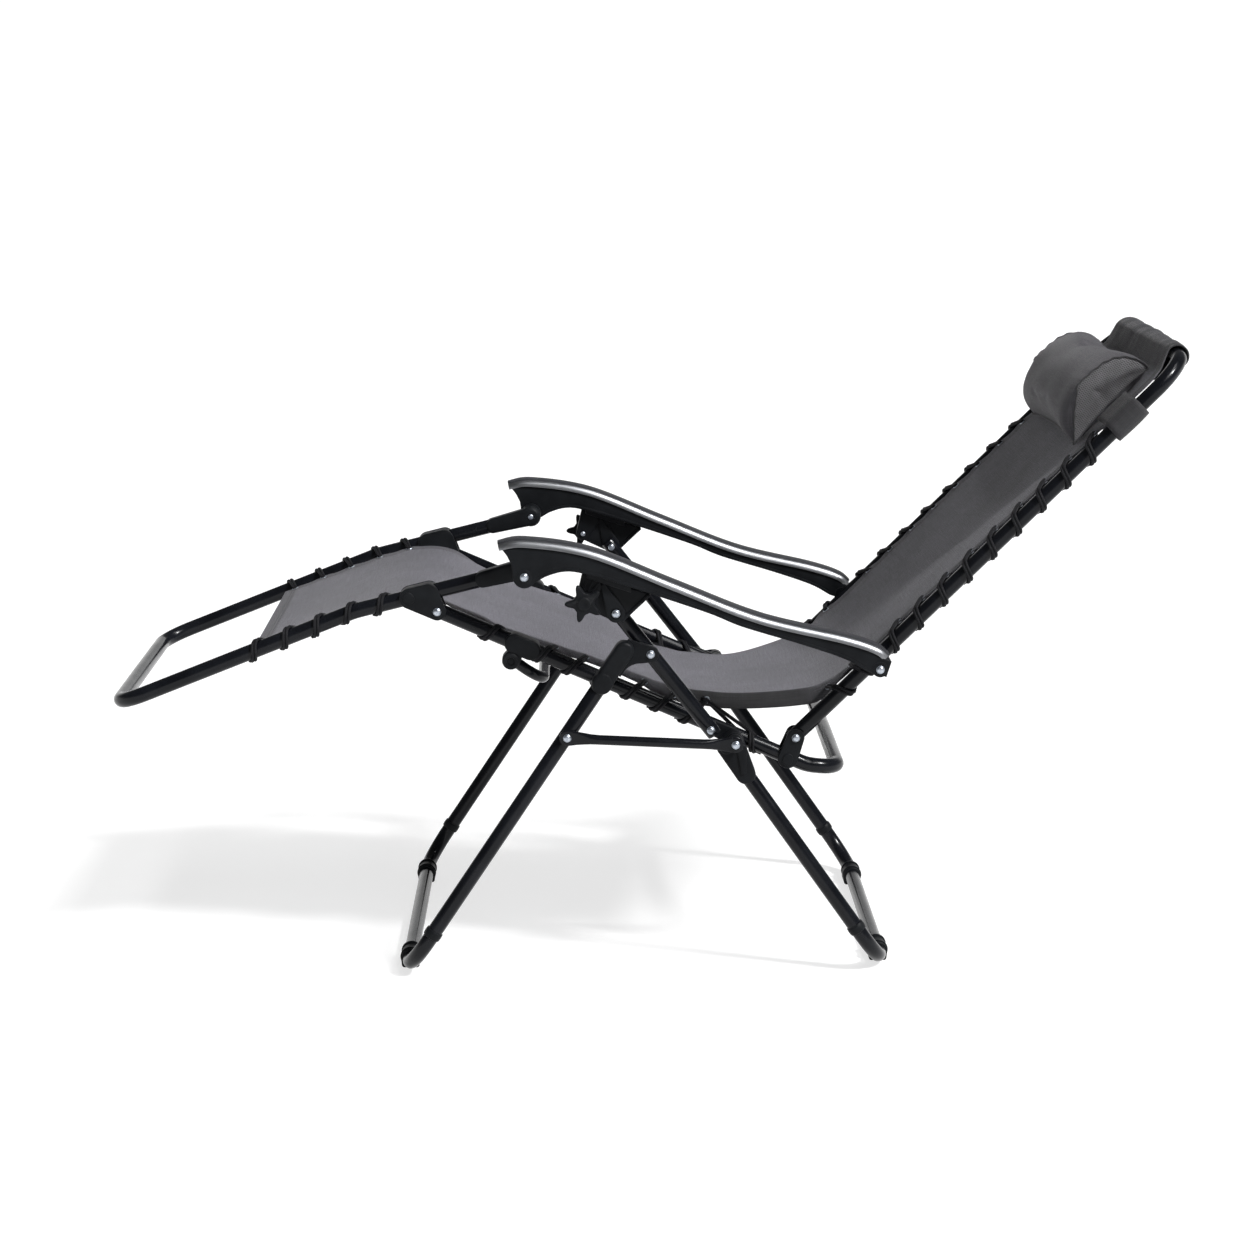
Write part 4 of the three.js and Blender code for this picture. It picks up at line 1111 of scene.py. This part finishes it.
def sling_strip(name, run_from, run_to):
    """One sheet, with its flat size and its area in metres."""
    runs = np.concatenate([[run_from], RUN[(RUN > run_from + 2) & (RUN < run_to - 2)], [run_to]])
    # the columns of points lie closer together towards the hems
    shares = np.linspace(-1, 1, SHEET_COLUMNS)
    dense = np.sin(shares * math.pi / 2 * 0.97) / math.sin(math.pi / 2 * 0.97)
    shares = 0.45 * dense + 0.55 * shares
    half = half_width(runs)[:, None]
    run_grid = np.repeat(runs[:, None], len(shares), 1)
    y_grid = half * shares[None, :]
    points, out = sheet_point(run_grid, y_grid)
    edge = half - np.abs(y_grid)
    thick = SHEET_T + HEM_T * smooth((HEM - edge) / 2)
    normal = np.stack([out[..., 0], np.zeros_like(y_grid), out[..., 1]], -1)
    top, under = points + normal * thick[..., None] / 2, points - normal * thick[..., None] / 2
    n, m = y_grid.shape
    verts = np.concatenate([top.reshape(-1, 3), under.reshape(-1, 3)])
    uv = np.stack([y_grid, run_grid], -1).reshape(-1, 2) * MM
    uv = np.vstack([uv, uv])
    faces = []
    for a, b, c, d in quads(n, m, closed=False):
        faces += [[a, b, c, d], [n * m + d, n * m + c, n * m + b, n * m + a]]
    index = np.arange(n * m).reshape(n, m)
    for rim, flip in ((index[:, 0], False), (index[:, -1], True), (index[0], True), (index[-1], False)):
        for a, b in zip(rim[:-1].tolist(), rim[1:].tolist()):
            quad = [a, b, n * m + b, n * m + a]
            faces.append(quad[::-1] if flip else quad)
    piece = Shape().add(verts, faces, [[tuple(uv[i]) for i in f] for f in faces]).make(name, TEXTILE, 50)
    from_end = runs - runs[0] if run_from == 0 else np.full(n, 1e3)
    reach = np.minimum(edge, from_end[:, None]) * MM
    paint(piece, "edge", [reach, reach])
    # painted shade: the shade attribute darkens the hanging flap at the seat's corner, in the armrest's
    # shadow, and the sleeve round the top bar
    flap_shade = dip_at(runs)[:, None] * smooth((HEM + 1 - edge) / 2)
    sleeve_shade = 0.85 * smooth((runs - RUN_SLEEVE + 12) / 16)[:, None] * np.ones_like(edge)
    shaded = np.maximum(flap_shade, sleeve_shade)
    paint(piece, "shade", [shaded, shaded])
    widths = 2 * half_width(runs)
    area = float(np.sum((widths[1:] + widths[:-1]) / 2 * np.diff(runs))) * MM * MM
    return piece, (2 * SLING_HALF * MM, (run_to - run_from) * MM), area


FOOT_BLEND = (place(-158, 521), place(-250, 546))
BACK_BLEND = (place(212, 402), on_back(88, 12))


def blended(piece, a, b, ends):
    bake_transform(piece)


def sling():
    front, flat, area = sling_strip("sling_front", 0, RUN_MID_SEAT)
    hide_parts("footrest_sling", "seat_sling")
    blended(front, "seat", "footrest", FOOT_BLEND)
    back, flat, area = sling_strip("sling_back", RUN_MID_SEAT, RUN[-1])
    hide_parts("back_sling")
    blended(back, "seat", "backrest", BACK_BLEND)


EYELET_R, EYELET_WIRE = 4.1, 1.25


def ring_at(shape, centre, normal, sides=24, around=8):
    """A flattened ring for one face of an eyelet."""
    a = unit(np.cross(normal, [0.0, 1.0, 0.0]))
    b = np.cross(normal, a)
    rows = []
    for t in full_turn(sides):
        spoke = a * math.cos(t) + b * math.sin(t)
        rows.append([centre + spoke * (EYELET_R + EYELET_WIRE * math.cos(q))
                     + normal * EYELET_WIRE * 0.7 * math.sin(q)
                     for q in full_turn(around)])
    shape.grid(rows, looped=True)


def eyelet_spot(run, side):
    y = side * (half_width(np.array([run]))[0] - EYELET_IN)
    points, out = sheet_point(np.array([run]), np.array([y]))
    step, _ = sheet_point(np.array([run]), np.array([y - side * 3.0]))
    ahead, _ = sheet_point(np.array([run + 2.0]), np.array([y]))
    normal = unit(np.cross(ahead[0] - points[0], step[0] - points[0]))
    if normal @ in_space(out[0], 0) < 0:
        normal = -normal
    return points[0], normal


def eyelets():
    groups = {"footrest": [], "seat": [], "backrest": []}
    for body, _, _, run in WINDS:
        groups[body].append(run)
    for body, runs in groups.items():
        shape = Shape()
        for run in runs:
            for side in SIDES:
                spot, normal = eyelet_spot(run, side)
                for lift in (-1.1, 1.1):
                    ring_at(shape, spot + normal * lift, normal)
        piece = shape.make(f"eyelets_{body}", ZINC, 60)
        ends = ("footrest", FOOT_BLEND) if body == "footrest" else ("backrest", BACK_BLEND)
        blended(piece, "seat", *ends)


# ---- elastic lacing ------------------------------------------------------------------------------
CORD_R = 2.2
WIND_SLANT = 19


def wind_turn(spot, along, side, eye, normal, shift):
    """One turn of cord: out of the eyelet, over the rail, round it and back under to the eyelet.

    The turn slants along the rail, its underside lying further from the eyelet.
    """
    centre = in_space(spot, side * RAIL_Y)
    a = in_space(along, 0)
    n = in_space(left_of(along), 0)
    o = np.array([0.0, side, 0.0])
    rel = eye - centre
    from_o, from_n, lean = float(rel @ o), float(rel @ n), float(rel @ a)
    slant = WIND_SLANT * np.sign(lean if abs(lean) > 4 else 1)
    radius = TUBE_R + CORD_R + 0.1
    facing = math.atan2(from_n, from_o) % (2 * math.pi)
    spread = math.acos(min(1.0, radius / math.hypot(from_o, from_n)))
    start, end = facing - spread, facing + spread - 2 * math.pi
    points = [eye - normal * 3.0 + a * shift * 0.6, eye + normal * (CORD_R + 0.5) + a * shift * 0.7]
    for t in np.linspace(0, 1, 15):
        turn = start + (end - start) * t
        along_rail = slant * (0.35 - t) + shift
        points.append(centre + (o * math.cos(turn) + n * math.sin(turn)) * radius + a * along_rail)
    points.append(eye - normal * (CORD_R + 1.2) + a * shift * 0.7)
    return points


def lacings():
    for body, node in (("footrest", "footrest_lacing"), ("seat", "seat_lacing"), ("backrest", "back_lacing")):
        for side in SIDES:
            path = []
            for wind_body, spot, along, run in WINDS:
                if wind_body != body:
                    continue
                eye, normal = eyelet_spot(run, side)
                path += wind_turn(spot, along, side, eye, normal, -CORD_R - 0.15)
                path += wind_turn(spot, along, side, eye, normal, CORD_R + 0.15)
                path.append(eye - normal * (CORD_R + 2.4) - np.array([0, side * 6.0, 0]))
            line = spline(np.array(path), 2.6)
            cord = Shape().tube(line, CORD_R, 10, 0.8)
            name = SIDE_NAME[side]
            fit(cord.make(f"cord_{body}_{name}", CORD, 80), body, f"{node}_{name}")


# ---- pillow and strap ----------------------------------------------------------------------------
PILLOW_HALF = 200
PILLOW_UP = (569, 731)
PILLOW_REST = BACK_LIFT + 2.6
PILLOW_RISE = 60
PILLOW_TIP = 6
PILLOW_SEAM = PILLOW_HALF - 4
PILLOW_SHOULDER = 26
PILLOW_COLUMNS, PILLOW_ARCH, PILLOW_FLAT = 44, 41, 21


def inflate(piece, frames=20, pressure=3.2, most=11.0):
    """Blows a closed mesh up a little with Cloth, moves no point further than most, and applies it."""
    rest = np.array([v.co[:] for v in piece.data.vertices])
    cloth = piece.modifiers.new("cloth", "CLOTH")
    settings = cloth.settings
    settings.use_pressure = True
    settings.uniform_pressure_force = pressure
    settings.effector_weights.gravity = 0
    settings.tension_stiffness = settings.compression_stiffness = 18
    settings.shear_stiffness = 8
    settings.bending_stiffness = 0.6
    settings.quality = 6
    scene = bpy.context.scene
    cloth.point_cache.frame_start, cloth.point_cache.frame_end = 1, frames
    for number in range(1, frames + 1):
        scene.frame_set(number)
    evaluated = piece.evaluated_get(bpy.context.evaluated_depsgraph_get())
    moved = np.array([v.co[:] for v in evaluated.data.vertices])
    piece.modifiers.clear()
    scene.frame_set(1)
    shift = moved - rest
    far = np.linalg.norm(shift, axis=1)
    limit = most * MM
    scale = np.where(far > 1e-9, limit * np.tanh(far / limit) / np.maximum(far, 1e-9), 0)
    return (rest + shift * scale[:, None]) / MM


def pillow():
    wide = PILLOW_COLUMNS
    low, high = PILLOW_UP
    middle, reach = (low + high) / 2, (high - low) / 2 - 3

    def over(t):
        tip = PILLOW_TIP * max(0.0, math.cos(t)) ** 3
        return middle + reach * math.cos(t), PILLOW_REST + 1 + PILLOW_RISE * math.sin(t) ** 0.72 + tip

    body_line = np.array([over(t) for t in np.linspace(0, math.pi, 121)])
    # the sewn ends are a flatter shape with a corner where the cover is gathered
    upper = [(high - 5, 7), (high - 5, 16), (low + 148, 36), (low + 131, 51), (low + 108, 58), (low + 67, 60)]
    end_line = np.vstack([spline(upper, 3), [(low + 33, 31), (low + 3, 1)]]) + (0, PILLOW_REST)
    curves = []
    for side_line in (body_line, end_line):
        run = lengths(side_line)
        arched = interpolated(np.linspace(0, run[-1], PILLOW_ARCH), run, side_line)
        flat = np.linspace(arched[-1], arched[0], PILLOW_FLAT)[1:-1]
        curves.append(np.vstack([arched, flat]))
    profile, end_profile = curves
    m = len(profile)
    ys = PILLOW_SEAM * np.sin(np.linspace(-1, 1, wide + 1) * math.pi / 2 * 0.9) / math.sin(math.pi / 2 * 0.9)
    rings = []
    for y in ys:
        full = math.sqrt(1 - (1 - min(1.0, (PILLOW_SEAM - abs(y)) / PILLOW_SHOULDER)) ** 2)
        rings.append([in_space(on_back(u, n), y) for u, n in end_profile + (profile - end_profile) * full])
    centre = np.array([low + 82, PILLOW_REST + 26])
    caps = []
    for side, y in zip(SIDES, (ys[0], ys[-1])):
        shrunk = [end_profile + (centre - end_profile) * s for s in np.linspace(0, 1, 10)[1:-1]]
        caps.append((side, [[in_space(on_back(u, n), y) for u, n in row] for row in shrunk]))
    verts = [p for ring in rings for p in ring]
    faces = [[a, d, c, b] for a, b, c, d in quads(wide + 1, m)]
    is_cap = [False] * len(faces)
    for side, rows in caps:
        ring = [k if side < 0 else wide * m + k for k in range(m)]
        for row in [*rows, None]:
            if row is None:
                tip = len(verts)
                verts.append(in_space(on_back(*centre), ys[0] if side < 0 else ys[-1]))
                new = [[ring[k], ring[(k + 1) % m], tip] for k in range(m)]
            else:
                base = len(verts)
                verts += row
                nxt = list(range(base, base + m))
                new = [[ring[k], ring[(k + 1) % m], nxt[(k + 1) % m], nxt[k]] for k in range(m)]
                ring = nxt
            faces += new if side < 0 else [f[::-1] for f in new]
            is_cap += [True] * m
    draft = Shape().add(verts, faces).make("pillow_draft", PILLOW, 60)
    points = inflate(draft)
    bpy.data.objects.remove(draft)
    # the underside lies flat on the sling
    frame_up = (points[:, [0, 2]] - BACK_SEAT) @ BACK_UP
    frame_out = (points[:, [0, 2]] - BACK_SEAT) @ BACK_OUT
    frame_out = np.maximum(frame_out, PILLOW_REST + 0.2 * smooth((frame_out - PILLOW_REST) / 4))
    y = points[:, 1]
    from_seam = PILLOW_SEAM - np.abs(np.array(verts)[:, 1])
    ring_share = np.arange(len(points)) % m
    body_points = np.arange(len(points)) < (wide + 1) * m
    gathered = np.exp(-from_seam / 13) * np.sin(ring_share * 1.9)
    pucker = np.where(body_points & (ring_share < PILLOW_ARCH), gathered, 0)
    soft = np.sin(y / 37 + frame_up / 23) + 0.7 * np.sin(y / 19 - frame_up / 31 + 1.3)
    lift = np.where(frame_out > PILLOW_REST + 6, 0.9 * pucker + 0.8 * soft * np.clip(from_seam / 60, 0, 1), 0)
    frame_out = frame_out + lift
    flat_points = BACK_SEAT + np.outer(frame_up, BACK_UP) + np.outer(frame_out, BACK_OUT)
    points = np.stack([flat_points[:, 0], y, flat_points[:, 1]], 1)
    seam_rows = [points[:m], points[wide * m:(wide + 1) * m]]

    girth = lengths(np.vstack([profile, profile[:1]]))
    body_uv, cap_uv = [], []
    for f, cap in zip(faces, is_cap):
        if cap:
            cap_uv.append([(frame_up[i] * MM, frame_out[i] * MM) for i in f])
        else:
            ks = [i % m for i in f]
            wrap = max(ks) - min(ks) > m / 2
            body_uv.append([(float(points[i][1]) * MM, girth[m if wrap and k == 0 else k] * MM)
                            for i, k in zip(f, ks)])
    piece = Shape().add(points, faces, body_uv + cap_uv).make("pillow_cushion", PILLOW, 180)
    piece.data.materials.append(MESH)
    for polygon, cap in zip(piece.data.polygons, is_cap):
        polygon.material_index = 1 if cap else 0
    subdivision = piece.modifiers.new("smooth", "SUBSURF")
    subdivision.levels = subdivision.render_levels = 1
    fit(piece, "pillow", "head_pillow")
    # painted shade: thin dark cords lie along the seams round the two ends, standing for the shadow line
    # there
    painted_seam_shade = Shape()
    for seam, direction in zip(seam_rows, SIDES):
        loop = np.vstack([seam, seam[:2]]) + np.array([0, direction * 0.8, 0])
        painted_seam_shade.tube(spline(loop, 3), 1.2, 10, round_caps=False)
    # stitched seams along the two long edges of the flat underside, drawn in the same dark cord, a painted
    # shadow line
    for k in (0, PILLOW_ARCH - 1):
        edge = np.array([points[i * m + k] for i in range(wide + 1)])
        painted_seam_shade.tube(spline(edge, 4), 1.3, 10)
    fit(painted_seam_shade.make("pillow_piping", PAINTED_SEAM_SHADE, 80), "pillow")


STRAP_UP, STRAP_T = (622, 678), 1.5


def strap():
    """The band runs from the pillow's ends, round both rails and across behind them."""
    snug = TUBE_R + 2 * CORD_R + 1.3
    mouth_y, mouth_out = PILLOW_HALF - 3, snug + 1.5
    arc = sweep(96, -90, 19)
    round_rail = [(RAIL_Y + snug * math.cos(t), snug * math.sin(t)) for t in arc]
    half = [(mouth_y, mouth_out), (mouth_y + 14, mouth_out), *round_rail,
            (150, -snug - 0.6), (60, -snug - 1.6), (0, -snug - 2.0)]
    loop = half + [(-y, n) for y, n in reversed(half[:-1])]
    line = even(np.array(loop), 5)
    run = lengths(line)
    low, high = STRAP_UP
    shares = np.linspace(0, 1, 9)
    normal = -left_of(headings(line))
    normal *= np.sign(np.sum(normal * line, axis=1))[:, None]
    sheet, uv = [], []
    for i, (y, n) in enumerate(line):
        for s in shares:
            d = 0.7 * math.sin(math.pi * s) + 0.12 * math.sin(run[i] / 14 + 5 * s)
            up = low + (high - low) * s
            flat = on_back(up, n + normal[i][1] * d)
            sheet.append((flat[0], y + normal[i][0] * d, flat[1]))
            uv.append((s * (high - low) * MM, run[i] * MM))
    faces = quads(len(line), len(shares), closed=False)
    piece = Shape().add(sheet, faces, [[uv[i] for i in f] for f in faces]).make("strap_band", WEBBING, 60)
    thicken = piece.modifiers.new("thickness", "SOLIDIFY")
    thicken.thickness, thicken.offset = STRAP_T * MM, 0
    fit(piece, "pillow", "pillow_strap")


# ---- everything ------------------------------------------------------------------------------------
frames()
link_bars()
bolts()
spreader()
for end in SIDES:
    label = SIDE_NAME[end]
    fork_bracket(f"footrest_fork_{label}", end, FOOT_SEAT, [place(-241, 548.9), place(-214, 555.7)],
                 "footrest", f"footrest_bracket_{label}")
    fork_bracket(f"backrest_fork_{label}", end, BACK_SEAT, [on_seat_rail(298)], "seat",
                 f"backrest_bracket_{label}")
    leg_fittings(end)
    foot_pads(end)
    armrest(end)
    arm_bar(end)
    lock(end)
sling()
eyelets()
lacings()
pillow()
strap()

bpy.context.view_layer.update()
